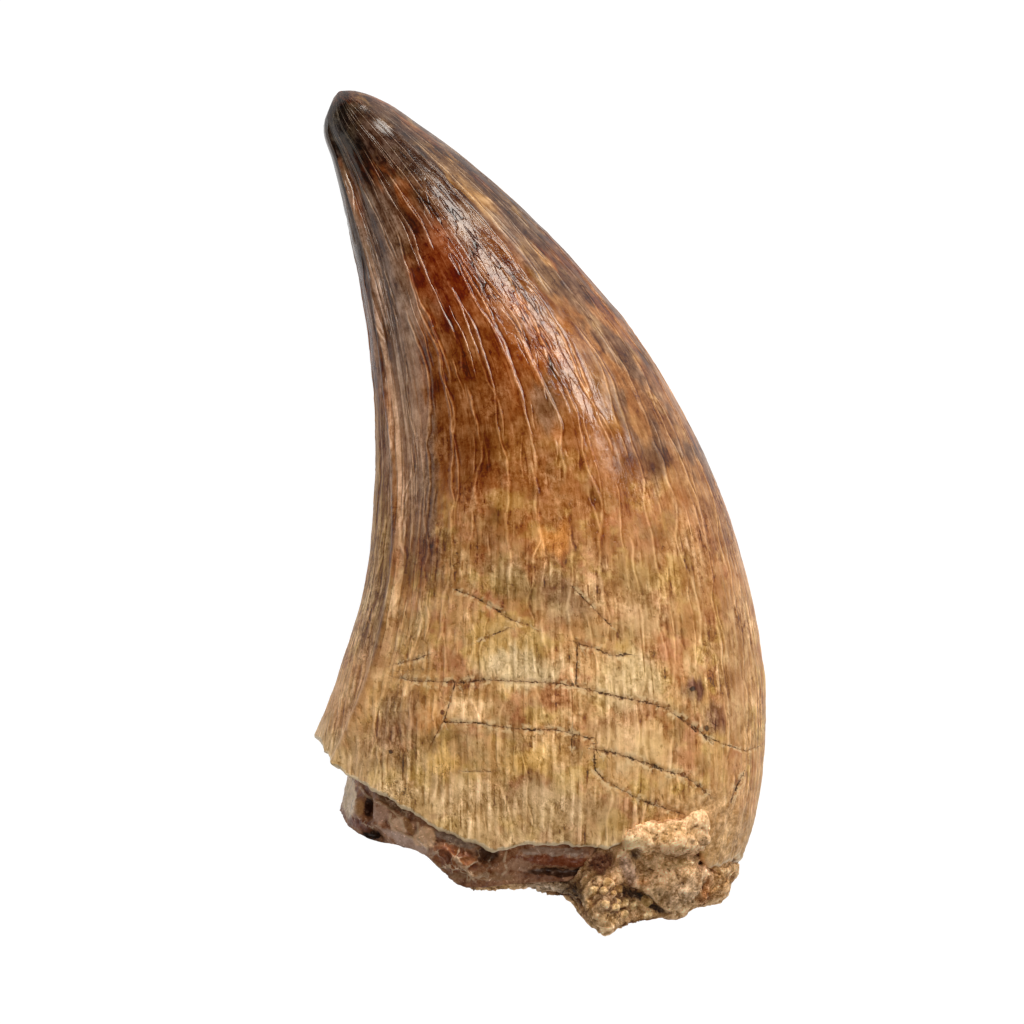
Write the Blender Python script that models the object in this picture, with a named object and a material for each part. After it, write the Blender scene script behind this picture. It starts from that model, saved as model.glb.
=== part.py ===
"""A fossil mosasaur tooth, lying on its side, with sandy matrix cemented in its broken base.

The crown bends round an upright axis that stands to the left of it. So its cross-sections lie in
planes that fan out from that axis, like the pages of an open book: the fan angle runs from the tip,
above, to the broken base, below. The tip points to +Y, the hollow side of the bend faces -X, and +Z
is the side that the photograph shows. Lengths are in metres and angles in degrees.
"""

import bpy
import bmesh
import numpy as np
from mathutils import Vector, noise

# Driving dimensions of the bend and its outline
BEND_AXIS = (-0.07330, 0.00255)
TIP_ANGLE = -26.05
CLOSING_ANGLE = -24.0
RIM_ANGLE = 19.5
INNER_EDGE = [
    (-26.05, 0.0649), (-25.7, 0.0641), (-25.2, 0.0634), (-24.4, 0.0628), (-22, 0.0624), (-12, 0.0615),
    (0, 0.0611), (8, 0.0608), (14, 0.0602), (20, 0.0597),
]
OUTER_EDGE = [
    (-26.05, 0.0650), (-25.8, 0.0657), (-25.3, 0.0665), (-24.5, 0.0674), (-22, 0.0694), (-14, 0.0757),
    (-4, 0.0834), (4, 0.0884), (12, 0.0919), (16, 0.0927), (20, 0.0923),
]

# Thickness of the crown in front of and behind its middle plane, as shares of its width
FRONT_SHARE = [(-26, 0.44), (-10, 0.40), (8, 0.37), (20, 0.36)]
BACK_SHARE = [(-26, 0.42), (-10, 0.40), (8, 0.38), (20, 0.37)]
BACK_FLATNESS = 0.86
# Height of the underside over the floor. Below zero it is worn to a flat, on which the tooth rests.
BELLY = [(-26, -0.0003), (-20, -0.0003), (-9, 0.0008), (3, 0.0005), (10, -0.0004), (18, -0.0006), (24, 0.0)]

# Side angles go round a section: 0 is the hollow side, 90 the front, 180 the outer side, 270 the back
COLUMNS = 96
CROWN_ROWS = 18
TIP_ROWS = 4
RELIEF_FADE = 6.0
FLUTE_HEIGHT = 0.00007
FRONT_EDGE = {"side": 30.0, "spread": 5.0, "height": 0.00042}
FRONT_GUTTER = {"side": 42.0, "spread": 8.0, "height": -0.00022}
BACK_EDGE = {"side": 203.0, "spread": 5.0, "height": 0.00038}
WORN_FACET = {"point": (-0.01602, 0.02897), "outward": (-0.928, 0.372)}

# Fan angle of the broken lower edge of the enamel, by side angle. The enamel is missing from 118 to 143.
# The rows above it take up its shape late, at this power of their step.
RIM_POWER = 7
RIM = [
    (0, 18.7), (14, 18.9), (30, 20.1), (50, 20.8), (72, 21.5), (86, 21.5), (92, 20.6), (100, 20.0),
    (115, 19.1), (119, 18.0), (127, 16.8), (134, 16.4), (141, 15.7), (145, 18.0), (152, 18.6),
    (166, 17.8), (180, 17.9), (205, 18.9), (232, 19.6), (258, 20.9), (285, 20.2), (310, 20.9),
    (335, 19.4), (360, 18.7),
]
ENAMEL_THICKNESS = 0.0007
EDGE_SLANT = 0.10
EDGE_ROUNDING = 0.6
UNDERCUT = 0.15
# How far the core lies inside the enamel's surface, by side angle
CORE_INSET = [
    (0, 0.0034), (16, 0.0031), (32, 0.0025), (46, 0.0016), (62, 0.0014), (72, 0.0010), (84, 0.0011),
    (93, 0.0023), (108, 0.0026), (120, 0.0021), (132, 0.0020), (150, 0.0017), (180, 0.0014),
    (215, 0.0013), (250, 0.0012), (280, 0.0018), (305, 0.0012), (330, 0.0024), (350, 0.0032), (360, 0.0034),
]
# Fan angle of the core's lower edge, by how far across the width it lies, from 0 to 1
CORE_END = [
    (0.09, 22.7), (0.13, 23.5), (0.18, 23.8), (0.27, 23.4), (0.33, 23.3), (0.38, 23.7), (0.43, 24.1),
    (0.48, 23.7), (0.54, 22.9), (0.62, 22.0), (0.75, 20.9), (0.90, 19.9), (1.0, 19.6),
]
CORE_LEAST = 0.9
CORE_ROWS = 5
CORE_ROUNDING = 0.0004
BASE_ROWS = 5
BASE_MIDDLE = 21.5
BASE_HOLLOW = 2.2
HOLLOW_STEEPNESS = 1.3
FRONT_STARTS = 0.011
# Lumps and pits of the exposed core: x, y, radius, height
CORE_LUMPS = [
    (-0.01270, -0.02220, 0.0009, -0.0012),
    (-0.01210, -0.02390, 0.0008, -0.0009),
    (-0.01380, -0.02190, 0.0007, 0.0005),
    (-0.00640, -0.02560, 0.0013, 0.0006),
    (-0.00380, -0.02640, 0.0011, -0.0006),
    (0.00150, -0.02570, 0.0012, -0.0005),
    (0.00420, -0.02640, 0.0012, -0.0005),
    (0.00680, -0.02700, 0.0012, 0.0007),
]

# The matrix fills the hollow base and stands in for the missing enamel. Its top lies inside the tooth,
# where it is cut to the tooth's shape with a hairline gap all round.
CLEARANCE = 0.0003
MATRIX_COLUMNS = 120
MATRIX_ROWS = 15
MATRIX_TOP = 15.4
MATRIX_MIDDLE = 22.4
MATRIX_ROUNDING = 0.0005
MATRIX_VOXEL = 0.0005
MATRIX_FACES_KEPT = 0.20
MATRIX_BASE_ROUGHNESS = 1.6
MATRIX_INSET = [
    (0, 0.0060), (55, 0.0046), (76, 0.0028), (112, 0.0027), (117, 0.0008), (122, 0.0001), (140, 0.0002),
    (148, 0.0002), (165, 0.0001), (185, 0.0001), (205, 0.0010), (240, 0.0024), (300, 0.0036), (360, 0.0060),
]
# Fan angle of the matrix's lower edge, by how far across the width it lies
MATRIX_END = [
    (0.1, 21.8), (0.25, 22.4), (0.36, 23.2), (0.43, 24.1), (0.48, 24.1), (0.55, 23.2), (0.62, 22.2),
    (0.67, 22.2), (0.72, 22.7), (0.78, 23.5), (0.86, 22.4), (0.93, 21.4), (0.98, 20.8), (1.01, 19.6),
]
# Lumps and creases on the front of the matrix: x, y, radius, height
MATRIX_LUMPS = [
    (0.0097, -0.0243, 0.0015, 0.0008),
    (0.0072, -0.0239, 0.0009, 0.0005),
    (0.0083, -0.0262, 0.0009, -0.0008),
    (0.0101, -0.0260, 0.0008, -0.0010),
    (0.0119, -0.0256, 0.0008, -0.0012),
    (0.0106, -0.0279, 0.0019, 0.0011),
    (0.0122, -0.0276, 0.0006, -0.0010),
    (0.0133, -0.0274, 0.0011, 0.0006),
    (0.0065, -0.0269, 0.0011, -0.0003),
    (0.0071, -0.0291, 0.0010, -0.0014),
    (0.0038, -0.0285, 0.0017, 0.0008),
    (0.0026, -0.0281, 0.0006, 0.0005),
    (0.0037, -0.0276, 0.0006, 0.0006),
    (0.0048, -0.0284, 0.0006, 0.0006),
    (0.0034, -0.0294, 0.0006, 0.0005),
    (0.0047, -0.0299, 0.0006, 0.0006),
]
# Broken stone: how far it stands out, the size of its grain, and the fractal's falloff, step and octaves
ROUGHNESS = 0.00035
GRAIN = 0.0014
FRACTAL = (0.7, 2.0, 3)

ENAMEL_COLOR = (0.42, 0.24, 0.10)
ENAMEL_ROUGH = 0.35
MATRIX_COLOR = (0.55, 0.40, 0.22)
MATRIX_ROUGH = 0.9


def smooth(points, x):
    """Read a smooth curve through (x, y) points."""
    xs, ys = np.array(points, float).T
    x = np.clip(x, xs[0], xs[-1])
    slopes = np.gradient(ys, xs)
    i = np.clip(np.searchsorted(xs, x) - 1, 0, len(xs) - 2)
    span = xs[i + 1] - xs[i]
    t = (x - xs[i]) / span
    rise = ys[i + 1] - ys[i]
    start, end = slopes[i] * span, slopes[i + 1] * span
    return ys[i] + t * start + t**2 * (3 * rise - 2 * start - end) + t**3 * (start + end - 2 * rise)


def straight(points, x):
    """Read a polyline through (x, y) points."""
    xs, ys = np.array(points, float).T
    return np.interp(x, xs, ys)


def around(columns):
    """Side angles of evenly spaced columns, once round a section."""
    return np.linspace(0, 360, columns, endpoint=False)


def bump(side, ridge):
    """A low ridge or gutter that runs the length of the crown."""
    away = (side - ridge["side"]) / ridge["spread"]
    return ridge["height"] * np.exp(-(away**2))


def width(fan):
    """The crown's width across one section."""
    return smooth(OUTER_EDGE, fan) - smooth(INNER_EDGE, fan)


def across(side, inset):
    """How far across the crown's width a point under its surface lies, from 0 to 1."""
    x, y, z = surface(side, np.full(len(side), RIM_ANGLE), -inset).T
    reach = np.hypot(x - BEND_AXIS[0], y - BEND_AXIS[1])
    return (reach - smooth(INNER_EDGE, RIM_ANGLE)) / width(RIM_ANGLE)


def surface(side, fan, lift=0.0):
    """Points of the crown's surface, raised by lift."""
    turn = np.radians(side)
    middle = (smooth(INNER_EDGE, fan) + smooth(OUTER_EDGE, fan)) / 2
    half_width = width(fan) / 2
    share = np.where(np.sin(turn) >= 0, smooth(FRONT_SHARE, fan), smooth(BACK_SHARE, fan))
    height = 2 * half_width * share
    rise = np.where(np.sin(turn) >= 0, np.sin(turn), -np.abs(np.sin(turn)) ** BACK_FLATNESS)
    lean_out, lean_up = -height * np.cos(turn), half_width * np.sin(turn)
    length = np.hypot(lean_out, lean_up) + 1e-9
    full = np.maximum(fan, CLOSING_ANGLE)
    middle_height = width(full) * smooth(BACK_SHARE, full) + smooth(BELLY, full)
    reach = middle - half_width * np.cos(turn) + lean_out / length * lift
    z = middle_height + height * rise + lean_up / length * lift
    along = np.radians(fan)
    x = BEND_AXIS[0] + reach * np.cos(along)
    y = BEND_AXIS[1] - reach * np.sin(along)
    return np.stack([x, y, z], axis=-1)


def section_middle(fan):
    """The point in the middle of one section, halfway from the front to the back."""
    return surface(np.array([90.0, 270.0]), np.full(2, fan)).mean(axis=0)


def crown_relief(side, fan):
    """Flutes and cutting edges, which fade out at the worn tip."""
    fade = np.clip((fan - TIP_ANGLE) / RELIEF_FADE, 0, 1)
    flutes = FLUTE_HEIGHT * np.where(np.arange(len(side)) % 2 == 0, 1, -1)
    return fade * (flutes + bump(side, FRONT_EDGE) + bump(side, FRONT_GUTTER) + bump(side, BACK_EDGE))


def lump_relief(lumps, points):
    """Lumps and pits, each a smooth hump or dent at a place in the plan, on the front only."""
    relief = np.zeros(len(points))
    for x, y, radius, height in lumps:
        away = np.hypot(points[:, 0] - x, points[:, 1] - y) / radius
        relief += height * np.exp(-(away**2)) * (points[:, 2] > FRONT_STARTS)
    return relief


def rough(points):
    """How far broken stone stands out or in at each point."""
    return ROUGHNESS * np.array([noise.fractal(Vector(point) / GRAIN, *FRACTAL) for point in points])


def wear_tip(points):
    """Press everything beyond the worn facet of the tip back to its plane."""
    outward = np.array(WORN_FACET["outward"])
    beyond = (points[:, :2] - np.array(WORN_FACET["point"])) @ outward
    points[:, :2] -= np.clip(beyond, 0, None)[:, None] * outward
    return points


def crown_rows(side, rim):
    """Rows of the enamel surface, from the tip to its broken lower edge."""
    rows = []
    for step in np.arange(1, TIP_ROWS + 1) / (TIP_ROWS + 1):
        fan = TIP_ANGLE + (CLOSING_ANGLE - TIP_ANGLE) * step**2
        rows.append(surface(side, np.full(len(side), fan)))
    for step in np.linspace(0, 1, CROWN_ROWS):
        level = CLOSING_ANGLE + (RIM_ANGLE - CLOSING_ANGLE) * step
        fan = level + (rim - RIM_ANGLE) * step**RIM_POWER
        rows.append(surface(side, fan, crown_relief(side, fan)))
    return [wear_tip(row) for row in rows]


def core_rows(side, rim):
    """Rows of the enamel's broken edge, the gap under it, the core's wall and its hollow underside."""
    inset = straight(CORE_INSET, side)
    end = np.maximum(smooth(CORE_END, across(side, inset)), rim + CORE_LEAST)
    start = rim + EDGE_SLANT
    rows = [
        surface(side, start, -EDGE_ROUNDING * ENAMEL_THICKNESS),
        surface(side, rim - EDGE_SLANT / 2, -ENAMEL_THICKNESS - UNDERCUT * inset),
    ]
    for step in np.linspace(0, 1, CORE_ROWS):
        fan = start + (end - start) * step
        rounding = CORE_ROUNDING * step**3
        wall = surface(side, fan, -inset - rounding)
        rows.append(surface(side, fan, -inset - rounding + lump_relief(CORE_LUMPS, wall)))
    middle = section_middle(BASE_MIDDLE)
    hollow = np.radians(BASE_HOLLOW) * np.hypot(*(middle[:2] - BEND_AXIS))
    edge = rows[-1]
    for step in np.linspace(0, 1, BASE_ROWS + 1)[1:-1]:
        row = edge + (middle - edge) * step
        row[:, 1] += hollow * np.sin(np.pi / 2 * min(1, HOLLOW_STEEPNESS * step)) + rough(row)
        rows.append(row)
    middle[1] += hollow
    return rows, middle


def matrix_rows(side):
    """All rows of the matrix before it is cut to the tooth's shape, with the two end points."""
    inset = straight(MATRIX_INSET, side)
    end = smooth(MATRIX_END, across(side, inset))
    rows = []
    for step in np.linspace(0, 1, MATRIX_ROWS):
        fan = MATRIX_TOP + (end - MATRIX_TOP) * step
        plain = surface(side, fan, -inset)
        lift = lump_relief(MATRIX_LUMPS, plain) + rough(plain) - MATRIX_ROUNDING * step**3
        rows.append(surface(side, fan, lift - inset))
    middle = section_middle(MATRIX_MIDDLE)
    edge = rows[-1]
    for step in np.linspace(0, 1, BASE_ROWS + 1)[1:-1]:
        row = edge + (middle - edge) * step
        row[:, 1] += MATRIX_BASE_ROUGHNESS * rough(row)
        rows.append(row)
    return [rows[0].mean(axis=0)] + rows + [middle]


def tooth_rows(side):
    """All rows of the tooth, from its tip to its hollow underside, with the two end points."""
    rim = straight(RIM, side)
    lower, middle = core_rows(side, rim)
    return [section_middle(TIP_ANGLE)] + crown_rows(side, rim) + lower + [middle]


def closed_solid(name, rows, swell=0.0):
    """A closed solid of rings between two end points. With a swell it is fatter by that much all over."""
    mesh = bmesh.new()
    first, last = mesh.verts.new(rows[0]), mesh.verts.new(rows[-1])
    rings = [[mesh.verts.new(point) for point in row] for row in rows[1:-1]]
    count = len(rings[0])
    for i in range(count):
        j = (i + 1) % count
        mesh.faces.new((first, rings[0][j], rings[0][i]))
        mesh.faces.new((last, rings[-1][i], rings[-1][j]))
        for upper, below in zip(rings, rings[1:]):
            mesh.faces.new((upper[i], upper[j], below[j], below[i]))
    bmesh.ops.recalc_face_normals(mesh, faces=mesh.faces)
    mesh.normal_update()
    for vert, normal in [(vert, vert.normal.copy()) for vert in mesh.verts]:
        vert.co += normal * swell
        vert.co.z = max(vert.co.z, -swell)
    made = bpy.data.meshes.new(name)
    mesh.to_mesh(made)
    mesh.free()
    solid = bpy.data.objects.new(name, made)
    bpy.context.collection.objects.link(solid)
    return solid


def paint(target, name, color, roughness):
    """Give an object its own plain material."""
    material = bpy.data.materials.new(name)
    material.use_nodes = True
    shader = material.node_tree.nodes["Principled BSDF"]
    shader.inputs["Base Color"].default_value = (*color, 1.0)
    shader.inputs["Roughness"].default_value = roughness
    shader.inputs["Metallic"].default_value = 0.0
    material.diffuse_color = (*color, 1.0)
    target.data.materials.append(material)


def build_tooth():
    """The crown with its cutting edges, and the broken root under the enamel's lower edge."""
    tooth = closed_solid("tooth", tooth_rows(around(COLUMNS)))
    tooth.data.shade_smooth()
    paint(tooth, "fossil_enamel", ENAMEL_COLOR, ENAMEL_ROUGH)


def build_matrix():
    """The sandy sediment in the broken base, cut to the tooth's shape."""
    matrix = closed_solid("matrix", matrix_rows(around(MATRIX_COLUMNS)))
    room = closed_solid("tooth_room", tooth_rows(around(COLUMNS)), CLEARANCE)
    room.hide_render = True
    room.display_type = "WIRE"
    grain = matrix.modifiers.new("even_grain", "REMESH")
    grain.mode = "VOXEL"
    grain.voxel_size = MATRIX_VOXEL
    facets = matrix.modifiers.new("broken_facets", "DECIMATE")
    facets.ratio = MATRIX_FACES_KEPT
    cut = matrix.modifiers.new("cut_to_tooth", "BOOLEAN")
    cut.operation = "DIFFERENCE"
    cut.solver = "EXACT"
    cut.object = room
    paint(matrix, "sandy_matrix", MATRIX_COLOR, MATRIX_ROUGH)


for item in list(bpy.data.objects):
    bpy.data.objects.remove(item)

build_tooth()
build_matrix()
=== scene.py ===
import math

import bpy
import bmesh
import numpy as np
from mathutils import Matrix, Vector, noise


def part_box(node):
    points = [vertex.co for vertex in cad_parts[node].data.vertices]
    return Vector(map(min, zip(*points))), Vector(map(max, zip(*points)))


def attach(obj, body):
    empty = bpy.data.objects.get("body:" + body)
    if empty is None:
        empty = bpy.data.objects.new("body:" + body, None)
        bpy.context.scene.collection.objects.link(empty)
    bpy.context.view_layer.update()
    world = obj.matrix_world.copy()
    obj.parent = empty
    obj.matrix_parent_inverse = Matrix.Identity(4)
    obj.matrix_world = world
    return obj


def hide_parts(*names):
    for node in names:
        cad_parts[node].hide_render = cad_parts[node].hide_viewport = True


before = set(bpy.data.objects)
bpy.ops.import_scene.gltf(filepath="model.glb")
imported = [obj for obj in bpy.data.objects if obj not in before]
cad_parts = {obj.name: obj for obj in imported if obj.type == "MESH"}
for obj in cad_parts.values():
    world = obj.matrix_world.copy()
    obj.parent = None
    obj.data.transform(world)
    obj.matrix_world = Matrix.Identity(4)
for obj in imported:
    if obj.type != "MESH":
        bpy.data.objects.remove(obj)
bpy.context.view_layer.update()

# Enamel crown
# The crown is one cap of fossil enamel that grew over the dentine. It is ribbed along its length, has a
# raised cutting edge on each side, is worn at its tip and is broken all round its lower edge.

# The crown bends round an upright axis to its left, so its sections fan out from that axis. A point on
# the skin has a fan angle, from the tip to the base, and a side angle, which goes round the section:
# 0 is the hollow side, 90 the front, 180 the outer side and 270 the back.
TOOTH_LOW, TOOTH_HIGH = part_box("tooth")
BEND_LEFT = 0.056583
BEND_BELOW_TIP = 0.028588
BEND_AXIS = (TOOTH_LOW.x - BEND_LEFT, TOOTH_HIGH.y - BEND_BELOW_TIP)
TIP_ANGLE = -26.05
CLOSING_ANGLE = -24.0
RIM_ANGLE = 19.5
INNER_EDGE = [
    (-26.05, 0.0649), (-25.7, 0.0641), (-25.2, 0.0634), (-24.4, 0.0628), (-22, 0.0624), (-12, 0.0615),
    (0, 0.0611), (8, 0.0608), (14, 0.0602), (20, 0.0597),
]
OUTER_EDGE = [
    (-26.05, 0.0650), (-25.8, 0.0657), (-25.3, 0.0665), (-24.5, 0.0674), (-22, 0.0694), (-14, 0.0757),
    (-4, 0.0834), (4, 0.0884), (12, 0.0919), (16, 0.0927), (20, 0.0923),
]
FRONT_SHARE = [(-26, 0.44), (-10, 0.40), (8, 0.37), (20, 0.36)]
BACK_SHARE = [(-26, 0.42), (-10, 0.40), (8, 0.38), (20, 0.37)]
BACK_FLATNESS = 0.86
BELLY = [(-26, -0.0003), (-20, -0.0003), (-9, 0.0008), (3, 0.0005), (10, -0.0004), (18, -0.0006), (24, 0.0)]
RIM = [
    (0, 18.7), (14, 18.9), (30, 20.1), (50, 20.8), (72, 21.5), (86, 21.5), (90, 21.2), (94, 20.5), (100, 20.0),
    (115, 19.3), (119, 18.4), (127, 17.3), (134, 16.9), (141, 16.2), (145, 18.0), (152, 18.6),
    (166, 17.8), (180, 17.9), (205, 18.9), (232, 19.6), (258, 20.9), (285, 20.2), (310, 20.9),
    (335, 19.4), (360, 18.7),
]
RIM_POWER = 7
RIM_CHIPPING = 0.16
ENAMEL_THICKNESS = 0.0007
WORN_FACET = {"point": (-0.01602, 0.02897), "outward": (-0.928, 0.372)}

# The mesh is finest on the front and in the lower half, where the cracks are.
FRONT_COLUMNS = 316
BACK_COLUMNS = 164
TIP_ROWS = 8
UPPER_ROWS = 76
LOWER_ROWS = 108
FINE_FROM = 5.0

# Cutting edges and their gutters: side angle along the fan, half width in degrees, height
FRONT_EDGE_SIDE = [(-26, 32), (-13, 31), (-8, 26.5), (-1, 28), (6, 30.5), (13, 32), (20, 30)]
FRONT_EDGE = {"spread": 2.6, "height": 0.00040}
FRONT_GUTTER = {"after": 9.0, "spread": 6.0, "height": -0.00020}
FRONT_STEP = {"before": 6.0, "spread": 4.0, "height": -0.00016}
BACK_EDGE_SIDE = [(-26, 203), (20, 203)]
BACK_EDGE = {"spread": 4.0, "height": 0.00036}
RELIEF_FADE = 6.0

# Cracks in the plan: width, then points, all in millimetres
MM = 0.001
CRACKS = [
    (0.13, [(-10.4, -12.4), (-9.2, -12.6), (-5.7, -12.7), (-4.2, -12.5), (0.5, -12.7), (2.3, -12.9),
            (5.4, -13.7), (8.0, -14.2), (9.4, -14.7), (10.5, -15.5), (11.5, -16.1), (12.5, -17.1)]),
    (0.11, [(-7.1, -15.6), (-4.6, -15.7), (-1.8, -16.1), (1.4, -16.2), (2.3, -16.5), (3.6, -16.8)]),
    (0.15, [(3.9, -17.6), (5.4, -17.9), (8.0, -18.7), (9.1, -19.2), (10.5, -19.5), (11.5, -20.2),
            (12.2, -20.8)]),
    (0.11, [(3.9, -17.7), (4.0, -19.1), (4.7, -19.9), (6.0, -20.6), (7.3, -21.3), (10.2, -22.3)]),
    (0.08, [(2.7, -9.9), (2.6, -12.9)]),
    (0.13, [(2.7, -9.8), (4.0, -10.2), (5.1, -10.7), (6.1, -10.7)]),
    (0.10, [(-6.3, -5.9), (-4.9, -6.4), (-3.7, -7.1), (-2.3, -8.0), (-1.0, -8.5)]),
    (0.07, [(-2.5, -8.8), (-4.4, -9.6)]),
    (0.08, [(2.3, -5.7), (3.4, -6.8), (5.1, -8.5)]),
    (0.08, [(-10.4, -11.3), (-9.2, -11.0), (-8.3, -10.7)]),
    (0.06, [(-6.3, -12.8), (-7.0, -15.3), (-8.0, -17.2)]),
    (0.12, [(14.8, -19.7), (14.0, -21.5)]),
    (0.08, [(2.3, -16.3), (2.3, -17.4)]),
    (0.06, [(-5.4, -19.2), (-3.7, -19.2)]),
    (0.06, [(9.6, -14.8), (11.4, -16.3), (13.3, -17.2), (15.1, -17.8), (15.8, -17.6)]),
]
CRACK_REACH = 0.8

# Bold ridges, in families that cross: how many round the crown, how far they stray, seed, how rare they are
RIDGE_FAMILIES = [(34, 0.34, 3.0, 0.44), (34, 0.40, 11.0, 0.50), (52, 0.36, 19.0, 0.54)]
STRIA_COUNT = 128

# The bundle of striae, seen as a cylinder: the height of a section, its radius at the rim, and how fast it thins
SECTION_SHARE = 0.38
STRAND_RADIUS = 0.0123
STRAND_SPREAD = 0.6
STRAIGHT_FROM, STRAIGHT_BY = -10.0, 8.0
CRACK_DEPTH = 0.00008
FRONT_STARTS = 0.010
LUMP_FADE = 0.003
# Where sandy crust covers the enamel, where it crumbles in winding pits, and its small dark knots:
# place, half length and half width in millimetres, turn, strength
MARKS = {
    "crusted": [((13.2, -23.6), (2.1, 3.1), 10, 1.5), ((9.6, -21.9), (2.4, 0.5), 14, 0.7)],
    "crumbly": [((-10.4, -20.7), (1.2, 0.7), -25, 1.4), ((-7.3, -19.2), (0.9, 0.6), 10, 1.1)],
    "knotted": [
        ((10.5, -19.5), (0.24, 0.22), 0, 1.3), ((-7.2, -14.9), (0.22, 0.24), 0, 1.1),
        ((-11.0, -17.8), (0.24, 0.20), 0, 1.1), ((11.1, -13.2), (0.30, 0.24), 30, 1.0),
        ((12.2, -16.1), (0.20, 0.30), 0, 1.0), ((9.4, -14.4), (0.22, 0.18), 0, 0.9),
    ],
}


def smooth(points, x):
    """Read a smooth curve through (x, y) points."""
    xs, ys = np.array(points, float).T
    x = np.clip(x, xs[0], xs[-1])
    slopes = np.gradient(ys, xs)
    i = np.clip(np.searchsorted(xs, x) - 1, 0, len(xs) - 2)
    span = xs[i + 1] - xs[i]
    t = (x - xs[i]) / span
    rise = ys[i + 1] - ys[i]
    start, end = slopes[i] * span, slopes[i + 1] * span
    return ys[i] + t * start + t**2 * (3 * rise - 2 * start - end) + t**3 * (start + end - 2 * rise)


def straight(points, x):
    """Read a polyline through (x, y) points."""
    xs, ys = np.array(points, float).T
    return np.interp(x, xs, ys)


def rough(points, grain, octaves=3):
    """Fractal noise at points, about -1 to 1, with features as large as the grain."""
    return np.array([noise.fractal(Vector(point) / grain, 0.7, 2.0, octaves) for point in points])


def width(fan):
    """The crown's width across one section."""
    return smooth(OUTER_EDGE, fan) - smooth(INNER_EDGE, fan)


def section(side, fan, lift=0.0):
    """How far out from the bend's axis, and how high, points of the skin lie when raised by lift."""
    turn = np.radians(side)
    middle = (smooth(INNER_EDGE, fan) + smooth(OUTER_EDGE, fan)) / 2
    half_width = width(fan) / 2
    share = np.where(np.sin(turn) >= 0, smooth(FRONT_SHARE, fan), smooth(BACK_SHARE, fan))
    height = 2 * half_width * share
    rise = np.where(np.sin(turn) >= 0, np.sin(turn), -np.abs(np.sin(turn)) ** BACK_FLATNESS)
    lean_out, lean_up = -height * np.cos(turn), half_width * np.sin(turn)
    length = np.hypot(lean_out, lean_up) + 1e-9
    full = np.maximum(fan, CLOSING_ANGLE)
    middle_height = width(full) * smooth(BACK_SHARE, full) + smooth(BELLY, full)
    reach = middle - half_width * np.cos(turn) + lean_out / length * lift
    z = middle_height + height * rise + lean_up / length * lift
    return reach, np.maximum(z, 0)


def surface(side, fan, lift=0.0):
    """Points of the skin, raised by lift."""
    reach, z = section(side, fan, lift)
    along = np.radians(fan)
    return np.stack([BEND_AXIS[0] + reach * np.cos(along), BEND_AXIS[1] - reach * np.sin(along), z], axis=-1)


def section_middle(fan):
    """The point in the middle of one section."""
    return surface(np.array([90.0, 270.0]), np.full(2, fan)).mean(axis=0)


def bump(side, middle, ridge):
    """A low ridge or gutter along one side angle."""
    return ridge["height"] * np.exp(-(((side - middle) / ridge["spread"]) ** 2))


def crown_relief(side, fan):
    """The cutting edges with the gutter and the step beside them, which fade out at the worn tip."""
    fade = np.clip((fan - TIP_ANGLE) / RELIEF_FADE, 0, 1)
    front = smooth(FRONT_EDGE_SIDE, fan)
    relief = bump(side, front, FRONT_EDGE)
    relief = relief + bump(side, front + FRONT_GUTTER["after"], FRONT_GUTTER)
    relief = relief + bump(side, front - FRONT_STEP["before"], FRONT_STEP)
    return fade * (relief + bump(side, smooth(BACK_EDGE_SIDE, fan), BACK_EDGE))


def wear_tip(points):
    """Press everything beyond the worn facet of the tip back to its plane."""
    outward = np.array(WORN_FACET["outward"])
    beyond = (points[:, :2] - np.array(WORN_FACET["point"])) @ outward
    points[:, :2] -= np.clip(beyond, 0, None)[:, None] * outward
    return points


def strand_place(side, fan):
    """Where a point lies in the bundle of striae, in millimetres: its place round a cylinder, then along it.

    The striae follow the crown as it widens. Towards the base they turn to run straight down, whatever the
    bend does. The cylinder is thinner towards the tip, by less than the crown is."""
    steps = np.radians(np.linspace(0, 360, 721))
    low = np.where(np.sin(steps) >= 0, np.sin(steps), -np.abs(np.sin(steps)) ** BACK_FLATNESS)
    lengths = np.hypot(np.diff(-np.cos(steps) / 2), np.diff(low * SECTION_SHARE))
    arc = np.concatenate([[0], np.cumsum(lengths)])
    levels = np.linspace(TIP_ANGLE, RIM_ANGLE + 5, 401)
    middles = (smooth(INNER_EDGE, levels) + smooth(OUTER_EDGE, levels)) / 2
    straightened = np.clip((levels - STRAIGHT_FROM) / (STRAIGHT_BY - STRAIGHT_FROM), 0, 1)
    drift = np.gradient(middles * np.cos(np.radians(levels))) * straightened**2 * (3 - 2 * straightened)
    shift = np.interp(fan, levels, np.cumsum(drift))
    middle = np.interp(fan, levels, middles)
    turn = 2 * np.pi * (np.interp(np.radians(side), steps, arc) + shift / np.maximum(width(fan), MM)) / arc[-1]
    radius = STRAND_RADIUS * (width(fan) / width(RIM_ANGLE)) ** STRAND_SPREAD
    return np.stack([radius * np.cos(turn), radius * np.sin(turn), np.radians(fan) * middle], axis=-1) / MM


def crack_field(points):
    """Distance from the nearest crack in crack widths, signed by its side, and how near that crack is."""
    place = points[:, :2] / MM
    nearest = np.full(len(points), 1e3)
    signed = np.full(len(points), 1e3)
    for size, line in CRACKS:
        for start, end in zip(np.array(line[:-1]), np.array(line[1:])):
            span = end - start
            t = np.clip((place - start) @ span / (span @ span), 0, 1)
            gap = place - start - t[:, None] * span
            away = np.hypot(*gap.T)
            closer = away < nearest
            side = np.sign(span[0] * gap[:, 1] - span[1] * gap[:, 0])
            signed[closer] = (side * away / size)[closer]
            nearest[closer] = away[closer]
    near = np.clip(1.5 - nearest / CRACK_REACH, 0, 1) * (points[:, 2] > FRONT_STARTS)
    return signed, near


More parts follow.
